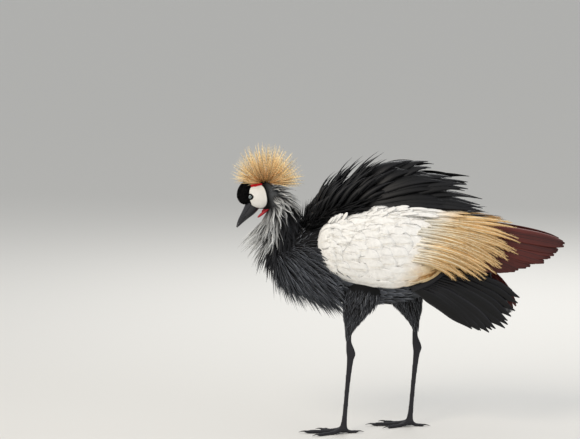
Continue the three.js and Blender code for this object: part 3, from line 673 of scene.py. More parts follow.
crestStraw = featherMaterial("crestStraw", "#d8a566", tip="#f3dcab", tipStart=0.1, tipEnd=0.85, variation=0.8,
                             bands=60.0, bandAmount=0.3, rough=0.6, shine=0.3)
velvet = featherMaterial("velvet", "#040404", tip="#070708", markedBase="#4c4e51", markedTip="#86888b",
                         tipStart=0.2, variation=0.4, rough=1.0, shine=0.05, bump=0.0)


skinLook = {"black": "#050506", "leg": ("#1c1c1e", "#37363a"), "slate": "#4a4c4e", "cheek": ("#dcd8cf", "#f4f1ec"),
            "red": ("#b3101c", "#e8202c"), "grain": 700.0, "scales": 330.0, "scutes": 640.0}


def mottled(tree, factor, codes):
    return mixed(tree, factor, *map(colour, codes))


def skinMaterial():
    # bare skin and down under the feathers, with cheek, red patch, slate and scaled legs
    m, t, s = newMaterial("craneSkin", 0.7, {"Specular IOR Level": 0.2})
    place = put(t, "ShaderNodeTexCoord").outputs["Object"]
    fine = noise(t, skinLook["grain"], 3.0)
    leg = attribute(t, "leg")
    scales = put(t, "ShaderNodeTexVoronoi", {"Vector": place, "Scale": skinLook["scales"]}).outputs["Distance"]
    high = put(t, "ShaderNodeSeparateXYZ", {0: place}).outputs[2]
    turns = maths(t, "MULTIPLY", high, skinLook["scutes"])
    scutes = maths(t, "POWER", maths(t, "ABSOLUTE", maths(t, "SINE", turns)), 0.4)
    plates = maths(t, "MULTIPLY", maths(t, "ADD", scutes, maths(t, "MULTIPLY", scales, 0.6)), leg)
    c = mixed(t, leg, colour(skinLook["black"]), mottled(t, fine, skinLook["leg"]))
    c = mixed(t, attribute(t, "slate"), c, colour(skinLook["slate"]))
    c = mixed(t, attribute(t, "cheek"), c, mottled(t, noise(t, 60.0), skinLook["cheek"]))
    c = mixed(t, attribute(t, "red"), c, mottled(t, noise(t, 300.0), skinLook["red"]))
    c = scaled(t, c, maths(t, "MULTIPLY", maths(t, "SUBTRACT", fine, 0.5), 0.2))
    surface(t, s, c, maths(t, "ADD", plates, maths(t, "MULTIPLY", fine, 0.12)), 0.5, 0.0012)
    return m


def grainMaterial(name, low, high, scale, rough, bump, subsurface=0.0):
    # two colours mottled at one scale, and a bump of the same grain
    m, t, s = newMaterial(name, rough, {"Subsurface Weight": subsurface})
    n = noise(t, scale, 3.0)
    surface(t, s, mottled(t, n, (low, high)), n, bump, 0.001)
    return m


def billMaterial():
    # dark horn, paler along the ridge of the upper half, where a highlight is painted
    m, t, s = newMaterial("billHorn", 0.38)
    n = noise(t, 260.0, 3.0)
    # painted highlight: the top of each section (tone near 1), broken up by noise, mixed towards pale grey
    ridge = maths(t, "MULTIPLY", between(t, attribute(t, "tone"), 0.8, 1.0), n)
    c = mixed(t, maths(t, "MULTIPLY", ridge, 0.9), mottled(t, n, ("#18181b", "#2e2e33")), colour("#85868c"))
    surface(t, s, c, maths(t, "ADD", n, maths(t, "MULTIPLY", noise(t, 900.0), 0.3)), 0.3, 0.0006)
    return m


def eyeMaterial():
    # dark pupil, pale iris, grey rim and black lid, under a wet coat
    m, t, s = newMaterial("eyePale", 0.12, {"Coat Weight": 1.0, "Coat Roughness": 0.03})
    ring = attribute(t, "across")     # distance from the eye's axis, as a share of the iris
    c = colour("#030303")
    for inner, outer, code in ((0.44, 0.5, "#8f9d9c"), (0.65, 0.98, "#556063"), (0.98, 1.06, "#060607")):
        c = mixed(t, between(t, ring, inner, outer), c, colour(code))
    t.links.new(c, s.inputs["Base Color"])
    return m


print("materials done")

# the photograph's long lens from the bird's left, a little above it
camera = {"millimetresPerPixel": 2.3, "thousandPixels": 0.58, "middle": (-0.247, 0.0, 0.491), "elevation": 7.0,
          "distance": 7.0, "sensor": 36.0}
cameraData = bpy.data.cameras.new("photoCamera")
cameraObject = newObject("photoCamera", cameraData)
cameraData.sensor_width = camera["sensor"]
pictureWidth = camera["millimetresPerPixel"] * camera["thousandPixels"]
cameraData.lens = camera["sensor"] * camera["distance"] / pictureWidth
tilt = math.radians(camera["elevation"])
cameraObject.location = (camera["middle"][0], -camera["distance"] * math.cos(tilt),
                         camera["middle"][2] + camera["distance"] * math.sin(tilt))
cameraObject.rotation_euler = (math.radians(90) - tilt, 0, 0)
cameraData.clip_end = 200.0
bpy.context.scene.camera = cameraObject
bpy.context.scene.view_settings.view_transform = "Standard"


def thighForm(side):
    x, y = stance[side]
    knee = 26 if side == left else -22
    return vec([x + knee * 1.4, y, 352, 30, 44], [x + knee, y, 318, 31, 44], [x + knee * 0.5, y, 282, 23, 31],
               [x + knee * 0.15, y, 252, 14, 17], [x, y, 232, 9.5, 10])


def shankForm(side):
    x, y = stance[side]
    return vec([x + 1, y, 246, 6.5, 6.5], [x, y, 214, 6.2, 6.5], [x + 3, y, 196, 8.5, 9.5],
               [x + 5, y, 184, 9.2, 10.5], [x + 3, y, 168, 6.6, 7.6], [x - 3, y, 110, 5.2, 5.8],
               [x - 9, y, 40, 5.4, 6], [x - 12, y, 12, 7.5, 8.5])


def toeForm(side, turn, length, r):
    # rises over each joint pad, flat under the toe
    x, y = stance[side]
    a = math.radians(turn * side)
    way = np.array([-math.cos(a), -math.sin(a)])
    rows = [(0, 10, 1.15), (0.3, r * 1.1, 1.05), (0.42, r * 0.8, 1.0), (0.62, r * 0.75, 0.84),
            (0.72, r * 0.76, 0.92), (0.9, r * 0.7, 0.76), (1.0, r * 0.8, 0.5)]
    return np.array([[x - 12 + way[0] * k * length, y + way[1] * k * length, z, r * f, r * f] for k, z, f in rows])


def headPoint(ray):
    # rays from the head's centre meet each ball at r; the skin lies at their soft maximum, soft * log(sum of
    # exp(r / soft)), raised over the cheeks and round the eyes, hollowed where the eyes sit
    centre = np.array(head["centre"])
    reach = []
    for middle, radii, pitch in head["balls"]:
        o = pitched((centre - np.array(middle))[None], -pitch)[0] / np.array(radii)
        d = pitched(ray, -pitch) / np.array(radii)
        a, b, c = (d * d).sum(-1), 2 * (d @ o), (o @ o) - 1
        reach.append((-b + np.sqrt(np.clip(b * b - 4 * a * c, 0, None))) / (2 * a))
    soft = head["soft"]
    p = centre + ray * (soft * np.log(np.exp(np.stack(reach) / soft).sum(0)))[:, None]
    e = head["eye"]
    lid = e["lid"] * np.exp(-((eyeAway(p) - e["opening"] - e["lidAway"]) / e["lidWidth"]) ** 2)
    hollow = -e["deep"] * smooth(e["opening"] + 0.3, e["opening"] - 0.8, eyeAway(p))
    rise = head["cheek"]["rise"] * cheekMark(p) + head["red"]["rise"] * redMark(p) + (lid + hollow) * onSide(p)
    return p + ray * rise[:, None]


flesh = {"voxel": 0.0027, "softening": 4,
         "nodes": ["head", "torso", "neck_upper", "neck_lower", "thigh_l", "thigh_r", "shank_l", "shank_r", "foot_l",
                   "foot_r"]}


def craneSkin():
    # closed forms of neck, body and legs, a little inside the plumage, grown together by voxels and softened, then
    # joined with the finer head
    parts = [tube(torsoForm, -6), tube(neckForm, -3), tube(rumpForm, -4), ellipsoid((-300, 0, 528), (16, 13, 15))]
    for side in (left, right):
        parts += [tube(thighForm(side), -3), tube(shankForm(side), 0, 60, 24)]
        x, y = stance[side]
        parts += [tube(toeForm(side, turn, length, r), 0, 30, 16) for _, turn, length, r in toes]
        parts.append(ellipsoid((x - 12, y, 10), (10, 9, 9)))
    body = newObject("roughBody", meshOf("roughBody", joined(parts))[0])
    ray, faces = ballGrid(150, 180)
    top = newObject("roughHead", meshOf("roughHead", Batch(headPoint(ray), faces))[0])
    grow = body.modifiers.new("grow", "REMESH")
    grow.mode, grow.voxel_size = "VOXEL", flesh["voxel"]
    soften = body.modifiers.new("soften", "SMOOTH")
    soften.iterations, soften.factor = flesh["softening"], 0.5
    join = body.modifiers.new("join", "BOOLEAN")
    join.operation, join.solver, join.object = "UNION", "EXACT", top
    done = body.evaluated_get(bpy.context.evaluated_depsgraph_get()).to_mesh()
    points = np.zeros(len(done.vertices) * 3)
    done.vertices.foreach_get("co", points)
    points = points.reshape(-1, 3) * 1000
    loops, totals, starts = (np.zeros(k, int) for k in (len(done.loops), len(done.polygons), len(done.polygons)))
    done.loops.foreach_get("vertex_index", loops)
    done.polygons.foreach_get("loop_total", totals)
    done.polygons.foreach_get("loop_start", starts)
    groups = [loops[starts[totals == k][:, None] + np.arange(k)] for k in np.unique(totals)]
    for obj in (body, top):
        mesh = obj.data
        bpy.data.objects.remove(obj)
        bpy.data.meshes.remove(mesh)
    points[:, 2] = np.maximum(points[:, 2], 0)
    marks = {"leg": legMark, "slate": slateMark, "cheek": cheekMark, "red": redMark}
    return piece("skin", [Batch(points, groups)], skinMaterial(), flesh["nodes"], marks)


craneSkin()
print("skin done")

bill = {"mouth": -0.3, "gap": 0.2, "ridge": 0.3,
        "nostril": {"share": 0.47, "deep": 3.2, "long": 0.075, "height": 0.34, "tall": 0.15}}


def billHalf(upper, rings=80, sides=64):
    # the whole bill's section, held a gap above or below the mouth line and drawn in along it, narrower along the
    # ridge; a nostril, deep * a bell of share and height, is pressed into each side of the upper half
    u, a = sharesAndAngles(rings, sides)
    row, across, up = sectionAt(billForm, u, 0.01)
    c, s = np.cos(np.radians(a)), np.sin(np.radians(a))
    high = s * row[..., 4]
    wide = c * row[..., 3] * (1 - bill["ridge"] * np.clip(s, 0, 1) ** 1.5)
    line, gap = bill["mouth"] * row[..., 4], bill["gap"]
    high = np.maximum(high, line + gap) if upper else np.minimum(high, line - gap)
    wide = np.where(np.abs(high - line) < gap + 0.05, wide * 0.96, wide)
    p = row[..., :3] + across * wide[..., None] + up * high[..., None]
    if upper:
        n = bill["nostril"]
        slot = np.exp(-((u - n["share"]) / n["long"]) ** 4 - ((s - n["height"]) / n["tall"]) ** 2)
        p = p - across * (np.sign(c) * n["deep"] * slot * (np.abs(c) > 0.3))[..., None]
    return Batch(p.reshape(-1, 3), closedFaces(rings, sides), u.ravel().copy(), c.ravel(), s.ravel())


horn = billMaterial()
piece("billUpper", [billHalf(True)], horn, ["bill_upper"])
piece("billLower", [billHalf(False)], horn, ["bill_lower"])
eyeLook = eyeMaterial()
for side in (left, right):
    e = head["eye"]
    ray, faces = ballGrid(40, 48)
    ball = Batch(ray * e["radius"], faces)
    away = np.hypot(ball.points[:, 0], ball.points[:, 2])
    ball.across = np.where(ball.points[:, 1] * side > 0, away / e["iris"], 2.0)
    ball.points = ball.points + np.array([e["centre"][0], e["centre"][1] * side, e["centre"][2]])
    piece("eye" + sideLetter[side].upper(), [ball], eyeLook, ["eye_" + sideLetter[side]])

wattle = {"slant": -39, "bulb": (-301, 0, 517), "fold": (-306, 4, 508.5)}
folds = [ellipsoid(wattle["bulb"], (14, 4.5, 4.4), wattle["slant"])]
for side in (left, right):
    x, y, z = wattle["fold"]
    folds.append(ellipsoid((x, y * side, z), (20, 3.4, 3.2), wattle["slant"]))
for f in folds:    # gentle lumps: y pushed by a sine of x times a sine of z
    f.points[:, 1] += 0.5 * np.sin(f.points[:, 0] * 0.9) * np.sin(f.points[:, 2] * 0.8)
piece("wattleFolds", folds, grainMaterial("wattleRed", "#8d0f1c", "#c91f2e", 420.0, 0.5, 0.5, 0.1), ["wattle"])


claw = {"length": 19, "width": 4.8, "rise": (0.16, -0.42), "rings": 9, "columns": 7, "outline": needle,
        "thick": 4.4, "camber": 0.25}


def clawSet():
    # each claw is a tapering oval bent down towards its tip
    batches = []
    for side in (left, right):
        x, y = stance[side]
        for _, turn, length, r in toes:
            a = math.radians(turn * side)
            way = np.array([-math.cos(a), -math.sin(a), 0])
            root = np.array([x - 12, y, r * 0.9]) + way * (length - 5)
            leave, arrive = (unit(way + np.array([0, 0, k])) * claw["length"] for k in claw["rise"])
            path = bentPaths(root[None], leave[None], arrive[None], claw["rings"])
            batches.append(ribbons(path, vec([0, 0, 1]), claw["width"], claw, vec([0, 0])))
    for b in batches:
        b.points[:, 2] = np.maximum(b.points[:, 2], 0)
        b.uv[:] = 0
    return batches


clawNodes = [f"claw_{name}_{sideLetter[s]}" for s in (left, right) for name, *_ in toes]
piece("claws", clawSet(), grainMaterial("clawHorn", "#0f0e0e", "#2a2827", 300.0, 0.4, 0.2), clawNodes)

crest = {"centre": (-304, 0, 576), "pad": (21, 12, 6), "rows": 17, "side": 56, "rear": -2, "front": 176,
         "perRow": 46, "reach": 93, "width": 1.25, "jitter": (3, 4, 2.5), "frontReach": 0.82, "curl": 9}


def crestBatch():
    # bristles fanned about a point, in rows from one side of the head to the other
    way = []
    for lean in np.linspace(-crest["side"], crest["side"], crest["rows"]):
        count = int(crest["perRow"] * math.cos(math.radians(lean)))
        turn = np.radians(np.linspace(crest["rear"], crest["front"], count) + spread(crest["jitter"][0], count))
        lean = np.radians(lean + spread(crest["jitter"][1], count))
        way.append(rowsOf(np.cos(turn) * np.cos(lean), np.sin(lean), np.sin(turn) * np.cos(lean)))
    way = unit(np.concatenate(way))
    n = len(way)
    turn = np.degrees(np.arctan2(way[:, 2], way[:, 0]))
    shorter = np.where(turn > 120, blend(1, crest["frontReach"], (turn - 120) / 60), 1)
    reach = crest["reach"] * shorter * random.uniform(0.7, 1.04, n)
    root = np.array(crest["centre"]) + way * np.array(crest["pad"]) + spread(crest["jitter"][2], n, 3)
    span = (way * reach[:, None] + np.array(crest["centre"])) - root
    curl = unit(random.normal(0, 1, (n, 3))) * crest["curl"]
    path = bentPaths(root, span + curl, span - curl, 7)
    uv = rowsOf(0.5 + turn / 400, 0.5 + np.degrees(np.arcsin(way[:, 1])) / 200)
    look = {"outline": bristle, "thick": 1.1}
    return ribbons(path, unit(random.normal(0, 1, (n, 3))), crest["width"], look, uv)


piece("crestBristles", [crestBatch()], crestStraw, ["crest"])

# short plush over forehead, crown and the sides behind the cheeks
plush = {"count": 22000, "length": (1.8, 8.0), "width": 1.3, "lift": 0.15, "sink": 0.12, "lid": 6.6,
         "throat": [(-345, 526), (-330, 535)]}     # bare behind each x where it is below each z


def velvetBatch():
    # tufts at random places of the head but for cheeks, red patches, lids and throat, lying back along the skin
    ray = unit(random.normal(0, 1, (plush["count"], 3)))
    p = headPoint(ray)
    keep = np.maximum(cheekMark(p), redMark(p)) < 0.2
    keep &= (eyeAway(p) > plush["lid"]) | (np.abs(p[:, 1]) < 8)
    for x, z in plush["throat"]:
        keep &= (p[:, 0] <= x) | (p[:, 2] >= z)
    p, ray = p[keep], ray[keep]
    n = len(p)
    back = rowsOf(0.75, 0.0, 0.1 - smooth(-312, -295, p[:, 0]) * 0.5)
    lie = unit(back - ray * (back * ray).sum(-1, keepdims=True) + ray * plush["lift"])
    length = (blend(*plush["length"], smooth(-318, -302, p[:, 0])) * random.uniform(0.8, 1.2, n))[:, None]
    uv = rowsOf(0.5 + 0.15 * np.arctan2(ray[:, 1], ray[:, 2]), 0.03 + 0.3 * np.arccos(ray[:, 0]))
    path = bentPaths(p - ray * plush["sink"], lie * length, unit(lie - ray * plush["lift"] * 2) * length, 3)
    return ribbons(path, ray, plush["width"], {"outline": lance, "thick": 0.3}, uv)


piece("headVelvet", [velvetBatch()], velvet, ["head"], {"mark": slateMark})
print("head done")

# neck hackles: wavy locks, short behind the head and longest on the bib; lists are values at the shares in u
hackles = {
    "u": [0.0, 0.12, 0.2, 0.29, 0.37, 0.45, 0.55, 0.66, 0.77, 0.9],
    "length": [28, 34, 42, 48, 56, 62, 58, 58, 58, 50],
    "lift": [1.7, 1.45, 1.1, 0.8, 0.6, 0.5, 0.5, 0.45, 0.4, 0.4],
    "flare": [0.5, 0.7, 0.5, 0.3, 0.2, 0.15, 0.2, 0.15, 0.1, 0.1],
    "fall": [0.1, 0.1, 0.2, 0.4, 0.5, 0.5, 0.4, 0.4, 0.5, 0.5],
    "bib": [0, 0, 0, 0.5, 1.0, 1.4, 1.7, 1.1, 0.4, 0],
    "width": 1.15, "sink": 3, "loose": 0.22, "stray": 0.26, "rings": 10, "outline": hairTip, "thick": 0.9,
    "strands": 7, "open": 3.4, "close": 0.16, "tips": 0.6, "flat": 0.6, "turns": 1.1, "wave": 3.4, "whole": True,
}
u, a = rowsOn(neckForm, np.linspace(0.0, 0.5, 20), 8.0, allRound)
above = np.sin(np.radians(a))
keep = ((u > 0.26) | (above > -0.35)) & ((u > 0.13) | (above > 0.75))     # leaves the slate sides of the head bare
piece("hacklesUpper", [growOn(neckForm, u[keep], a[keep], hackles)], hackle, ["neck_upper"],
      {"mark": paleMark})
lowHackles = {**hackles, "strands": 6, "open": 4.2, "rings": 9}
ruff = {**lowHackles, "length": 32, "lift": 1.0, "flare": 0.9, "fall": -0.8, "bib": 0, "open": 3.4}
lower = [coat(neckForm, np.linspace(0.52, 0.92, 15), 10.0, allRound, lowHackles),
         coat(torsoForm, np.linspace(0.06, 0.26, 8), 13.0, (25, 155), ruff, -3)]
piece("hacklesLower", lower, hackle, ["neck_lower"], {"mark": paleMark})
print("neck done")

bodyLook = {"length": 34, "width": 15, "lift": 0.16, "flare": 0.02, "fall": 0.1, "sink": 3, "loose": 0.06,
            "stray": 0.1, "rings": 5, "columns": 5, "outline": roundTip, "thick": 0.8, "camber": 0.25, "fray": 0.2}
breastLook = {**bodyLook, "length": 70, "width": 6.5, "lift": 0.25, "flare": 0.1, "fall": 0.95, "outline": lance,
              "stray": 0.14, "loose": 0.12, "rings": 7, "columns": 3}
thighLook = {**bodyLook, "length": 26, "width": 7, "lift": 0.2, "flare": 0.03, "fall": 0.3, "outline": lance}
body = [coat(torsoForm, np.linspace(0.04, 0.36, 24), 8.0, (150, 390), breastLook, -3),
        coat(torsoForm, np.linspace(0.1, 0.97, 36), 14.0, allRound, bodyLook, -4)]
piece("bodyFeathers", body, bodyFeather, ["torso"], {"mark": blackMark})
thighs = [coat(thighForm(side), np.linspace(0.05, 0.9, 18), 7.0, allRound, thighLook, -2) for side in (left, right)]
piece("thighFeathers", thighs, bodyFeather, ["thigh_l", "thigh_r"],
      {"mark": lambda p: np.full(len(p), 0.7)})
print("body done")

# the back: tips that the plumes and spikes reach, and [share, angle] where plumes root
plumeTips = vec([192, 66, 514], [190, 54, 532], [150, 42, 566], [167, 30, 584], [79, 22, 602], [80, 8, 622])
plumeRoots = vec([0.8, -4], [0.84, 14], [0.84, 32], [0.8, 48], [0.8, 64], [0.74, 80])
spikeTips = vec([-220, 0, 488], [-199, 0, 512], [-176, 0, 560], [-149, 0, 609], [-109, 0, 631], [-63, 0, 645],
                [-25, 0, 651], [5, 0, 622])
# raised plumes: what each layer adds to the share, the tips and the bow; bow and faceOut go from first to last
plumes = {"perSide": 11, "layers": 2, "rings": 14, "sink": 5, "shift": (0.04, -0.16), "step": (-46, 5), "rise": 3,
          "jitter": (14, 3, 4), "bow": (14, 24), "faceOut": (0.8, 0.35), "width": (30, 42), "lean": 6}
plumeLook = {"columns": 7, "outline": lance, "thick": 1.2, "camber": 0.22, "fray": 0.1, "swept": 0.2}
# spikes: their lines from side to side, and what a line further out adds to a spike's root angle and its tip
spikes = {"count": 13, "lines": 9, "rings": 11, "sink": 5, "shares": (0.02, 0.66), "angle": 62, "out": 44,
          "drop": 44, "jitter": (9, 23), "bow": (-19, 12, 16), "width": (11, 20)}
spikeLook = {"columns": 5, "outline": lance, "thick": 1.8, "camber": 0.4, "fray": 0.05}
wisps = {"barbs": 10, "span": (0.45, 0.95), "opening": 12, "droop": 0.05, "hair": 0.8,
         "reach": lambda t: 12 + 2 * t}
lowPlumes = {"length": 48, "width": 4.5, "lift": 0.45, "flare": 0.35, "sink": 3, "loose": 0.16, "stray": 0.25,
             "rings": 5, "outline": lance, "thick": 1}
innerPlumes = {"length": 126, "width": 17, "lift": 0.85, "flare": 0.2, "sink": 4, "loose": 0.14, "stray": 0.16,
               "rings": 9, "columns": 5, "outline": lance, "thick": 1.2, "camber": 0.3, "fray": 0.1}


def backPlumes(side):
    # broad plumes that sweep back, the outermost lowest, in layers
    layer = np.repeat(np.arange(plumes["layers"]), plumes["perSide"])
    t = np.tile(np.linspace(0, 1, plumes["perSide"]), plumes["layers"]) + layer * plumes["shift"][0]
    t = np.clip(t, 0, 1)
    n = len(t)
    root = onLine(plumeRoots, t)
    angle = np.where(side == right, root[:, 1], 180 - root[:, 1])
    p, out, _ = skinOf(mantleForm, root[:, 0] + plumes["shift"][1] * layer, angle)
    tip = mirrored(onLine(plumeTips, t), side) + scatter(n, *plumes["jitter"])
    tip += rowsOf(plumes["step"][0] * layer, 0, plumes["step"][1] * layer)
    high = blend(*plumes["bow"], t)
    bow = rowsOf(0, side * 0.4 * high, high + plumes["rise"] * layer)
    start = p - out * plumes["sink"]
    path = bowedPaths(start, (start + tip) / 2 + bow * 2, tip, plumes["rings"])
    face = unit(rowsOf(0, side * blend(*plumes["faceOut"], t), 0.7))
    uv = rowsOf(0.1 + 0.8 * t, 0.5 + (0.3 + 0.05 * layer) * side)
    look = {**plumeLook, "lean": side * plumes["lean"]}
    vanes = ribbons(path, face, random.uniform(*plumes["width"], n), look, uv)
    return [vanes, barbsOn(path, face, wisps, 0.5 + 0.4 * side * t)]


def backSpikes():
    # spikes in lines along the shoulders, their tips on an arch that sinks and spreads with each line further out
    t, line = np.meshgrid(np.linspace(0, 1, spikes["count"]), np.linspace(-1, 1, spikes["lines"]))
    t = np.clip(t.ravel() + spread(0.03, t.size), 0, 1)
    line = line.ravel() + spread(0.05, t.size)
    far = np.abs(line)
    n = t.size
    p, out, _ = skinOf(mantleForm, blend(*spikes["shares"], t), 90 - line * spikes["angle"])
    tip = onLine(spikeTips, np.clip(blend(0.12 * far, 1 - 0.03 * far, t), 0, 1))
    ahead, sunk = spread(spikes["jitter"][0], n), random.uniform(3 - spikes["jitter"][1], 3, n)
    tip = tip + rowsOf(ahead, line * spikes["out"], sunk - spikes["drop"] * far)
    root = p - out * spikes["sink"]
    bow = rowsOf(1, line, 1) * np.array(spikes["bow"])
    face = unit(rowsOf(-0.6, line * 1.2, 1))
    uv = rowsOf(0.05 + 0.9 * t, 0.5 + 0.4 * line)
    width = blend(*spikes["width"], t) * random.uniform(0.8, 1.15, n)
    return ribbons(bowedPaths(root, (root + tip) / 2 + bow, tip, spikes["rings"]), face, width, spikeLook, uv)


low = coat(mantleForm, np.linspace(0.03, 0.97, 20), 7, (-30, 210), lowPlumes)
u, a = rowsOn(torsoForm, np.linspace(0.58, 0.86, 10), 11, (48, 132))
a = 90 + (a - 90) * 0.5      # drawn together under the raised plumes, between the wings
piece("backPlumes", [tube(mantleForm, -2, 30, 28), low, growOn(torsoForm, u, a, innerPlumes, -3), *backPlumes(left),
                     *backPlumes(right), backSpikes()], blackPlume, ["mantle"])
print("back done")


def angleAt(height, side):
    # the wing's outer surface at a share of its half height
    a = 180 - np.degrees(np.arcsin(np.clip(height, -1, 1)))
    return a if side == left else 180 - a


coverts = {"rows": [-183, -170, -150, -128, -104, -78, -50, -22, 8, 34], "length": (40, 92), "width": (34, 56),
           "overlap": 0.44, "lift": (-2.2, -0.2, 0.4), "top": (0.75, 0.93), "rise": 0.04, "reach": 0.75,
           "ahead": 14, "stagger": 1.4, "jitter": (0.03, 9), "drop": (0.04, 0.03), "lowLonger": 0.5, "lean": 1.2,
           "span": (-184, 103), "rings": 10}
covertLook = {"columns": 9, "outline": roundTip, "thick": 0.4, "camber": (0.06, 0.3), "fray": 0.1}
covertFringe = {"barbs": 26, "span": (0.45, 0.97), "opening": 24, "droop": 0.05, "hair": 0.9,
                "reach": lambda t: 12 + 6 * t}


def covertBatch(side):
    # each covert follows the wing's surface from its sunk root to its raised tip, and bends over the wing's top and
    # bottom: camber = first + second * h to the power of 4
    form = mirrored(wingTable, side)
    hs, xs, ts = [], [], []
    for r, x in enumerate(coverts["rows"]):
        t = r / (len(coverts["rows"]) - 1)
        high = onLine(form, shareAt(form, x + coverts["ahead"]))[4]
        top = math.asin(min(coverts["top"][1], coverts["top"][0] + coverts["rise"] * r))
        apart = blend(*coverts["width"], t) * coverts["overlap"]
        count = max(3, int(math.pi * coverts["reach"] * high / apart))
        hs.append(np.sin(np.linspace(1, -1, count) * top) + (0.5 * (r % 2) - 0.25) * coverts["stagger"] / count)
        xs.append(np.full(count, float(x)))
        ts.append(np.full(count, t))
    h, x, t = map(np.concatenate, (hs, xs, ts))
    n = len(h)
    h = np.clip(h + spread(coverts["jitter"][0], n), -0.97, 0.97)
    x = x + spread(coverts["jitter"][1], n)
    longer = coverts["lowLonger"]
    length = blend(*coverts["length"], t) * random.uniform(0.8, 1.15, n) * (1 + longer * smooth(-0.1, -0.8, h))
    drop = coverts["drop"][0] + spread(coverts["drop"][1], n)
    spots = [skinOf(form, shareAt(form, np.clip(x + length * k, *coverts["span"])), angleAt(h - drop * k, side))[:2]
             for k in (0, 0.5, 1)]
    lifts = np.array(coverts["lift"])[:, None] * random.uniform(0.8, 1.2, (3, n))
    a, b, c = (p + out * lift[:, None] for (p, out), lift in zip(spots, lifts))
    width = blend(*coverts["width"], t) * random.uniform(0.8, 1.15, n)
    path = bowedPaths(a, 2 * b - (a + c) / 2, c, coverts["rings"])
    uv = unwrapped(shareAt(form, x), angleAt(h, side))
    face = spots[1][1]
    fringe = barbsOn(path, face, covertFringe, uv[:, 1], uv[:, :1])
    bend = covertLook["camber"][0] + covertLook["camber"][1] * h[:, None, None] ** 4
    look = {**covertLook, "lean": side * coverts["lean"], "camber": bend}
    return [ribbons(path, face, width, look, uv), fringe]


edgeLook = {"count": 34, "from": -120, "to": 76, "length": (42, 92), "width": (8, 14), "tuft": 7,
            "tuftFrom": -160, "tuftTo": -140, "tuftLength": 26, "tuftRise": 1.4, "peak": (-48, 30, 0.9), "sink": 2,
            "rings": 9, "columns": 5, "outline": roundTip, "thick": 0.9, "camber": 0.15, "fray": 0.3}


def edgePlumes(side):
    # long white feathers along the wing's top edge, loose at their tips, with a peak that stands up in the middle:
    # height * exp(-((x - place) / width)**2), and a small tuft at its front
    form = mirrored(wingTable, side)
    x = np.concatenate([np.linspace(edgeLook["from"], edgeLook["to"], edgeLook["count"]),
                        np.linspace(edgeLook["tuftFrom"], edgeLook["tuftTo"], edgeLook["tuft"])])
    n = len(x)
    front = np.arange(n) >= edgeLook["count"]
    x = x + spread(5, n)
    angle = angleAt(np.where(front, 0.9, random.uniform(0.8, 0.985, n)), side)
    p, out, _ = skinOf(form, shareAt(form, x), angle)
    reach = blend(*edgeLook["length"], smooth(-60, 70, x)) * random.uniform(0.7, 1.15, n)
    middle, wide, high = edgeLook["peak"]
    peak = high * np.exp(-((x - middle) / wide) ** 2) * random.uniform(0.3, 1.3, n)
    reach = np.where(front, edgeLook["tuftLength"], reach * (1 - 0.5 * peak))[:, None]
    rise = np.where(front, edgeLook["tuftRise"], peak)[:, None] * np.array([0, 0, 1.0])
    leave = unit(vec([1, 0, 0.12]) + out * 0.1 + rise + spread(0.08, n, 3)) * reach
    arrive = unit(vec([1, -side * 0.1, -0.28]) + rise + spread(0.08, n, 3)) * reach
    path = bentPaths(p - out * edgeLook["sink"], leave, arrive, edgeLook["rings"])
    width = random.uniform(*edgeLook["width"], n)
    return ribbons(path, out, width, edgeLook, unwrapped(shareAt(form, x), angle))


goldTips = vec([250, 34, 488], [266, 50, 438], [248, 68, 402], [212, 80, 376], [136, 88, 362])
goldRoots = vec([90, 0.86], [80, 0.66], [66, 0.42], [58, 0.06], [44, -0.38])     # x, share of half height
gold = {"count": 64, "barbs": 72, "span": (0.05, 0.97), "opening": 15, "droop": 0.04, "hair": 0.75,
        "reach": lambda t: 7 + 21 * np.sin(np.pi * np.clip(t, 0, 1) ** 0.8),
        "layers": 3, "layerBack": 9, "shorter": 0.1, "apart": 1.5, "lift": (0.5, 0.8), "jitter": (12, 0.07),
        "tipJitter": (18, 2, 9), "control": (0.6, 0.35, 0.2), "bow": (5, 4), "faceUp": (0.7, 0.1), "rings": 12,
        "shaft": 2.2, "vane": 13, "lean": 5}
goldVane = {"columns": 5, "outline": lance, "thick": 0.8, "camber": 0.1, "fray": 0.3}


def goldBatches(side):
    # plumes in layers that leave the rear of the wing and arch down over the flight feathers, each a shaft over a
    # thin vane, with hairs along it
    n = gold["count"]
    row = np.linspace(0, 1, n)
    t = np.clip(row + spread(0.012, n), 0, 1)
    form = mirrored(wingTable, side)
    layer = np.arange(n) % gold["layers"]
    under = gold["layers"] - 1 - layer
    start = onLine(goldRoots, t)
    x = start[:, 0] - gold["layerBack"] * layer + spread(gold["jitter"][0], n)
    h = start[:, 1] + spread(gold["jitter"][1], n)
    p, out, _ = skinOf(form, shareAt(form, x), angleAt(h, side))
    tip = mirrored(onLine(goldTips, t), side) + scatter(n, *gold["tipJitter"])
    tip = blend(p, tip, (1 - gold["shorter"] * under)[:, None])
    tip[:, 1] += side * under * gold["apart"]
    root = p + out * (gold["lift"][0] + gold["lift"][1] * layer[:, None])
    control = root + (tip - root) * np.array(gold["control"]) + np.array([0, side * gold["bow"][0], gold["bow"][1]])
    path = bowedPaths(root, control, tip, gold["rings"])
    face = unit(rowsOf(0, side, blend(*gold["faceUp"], t)))
    uv = rowsOf(0.1 + 0.2 * layer, 0.05 + 0.9 * row)
    vane = {**goldVane, "lean": side * gold["lean"]}
    vanes = ribbons(path - out[:, None] * 1.5, face, gold["vane"], vane, rowsOf(0.985, uv[:, 1]))
    shafts = ribbons(path + out[:, None], face, gold["shaft"], {"outline": needle, "thick": 1.4}, uv)
    return shafts, [vanes, barbsOn(path, face, gold, 0.03 + 0.94 * row)]


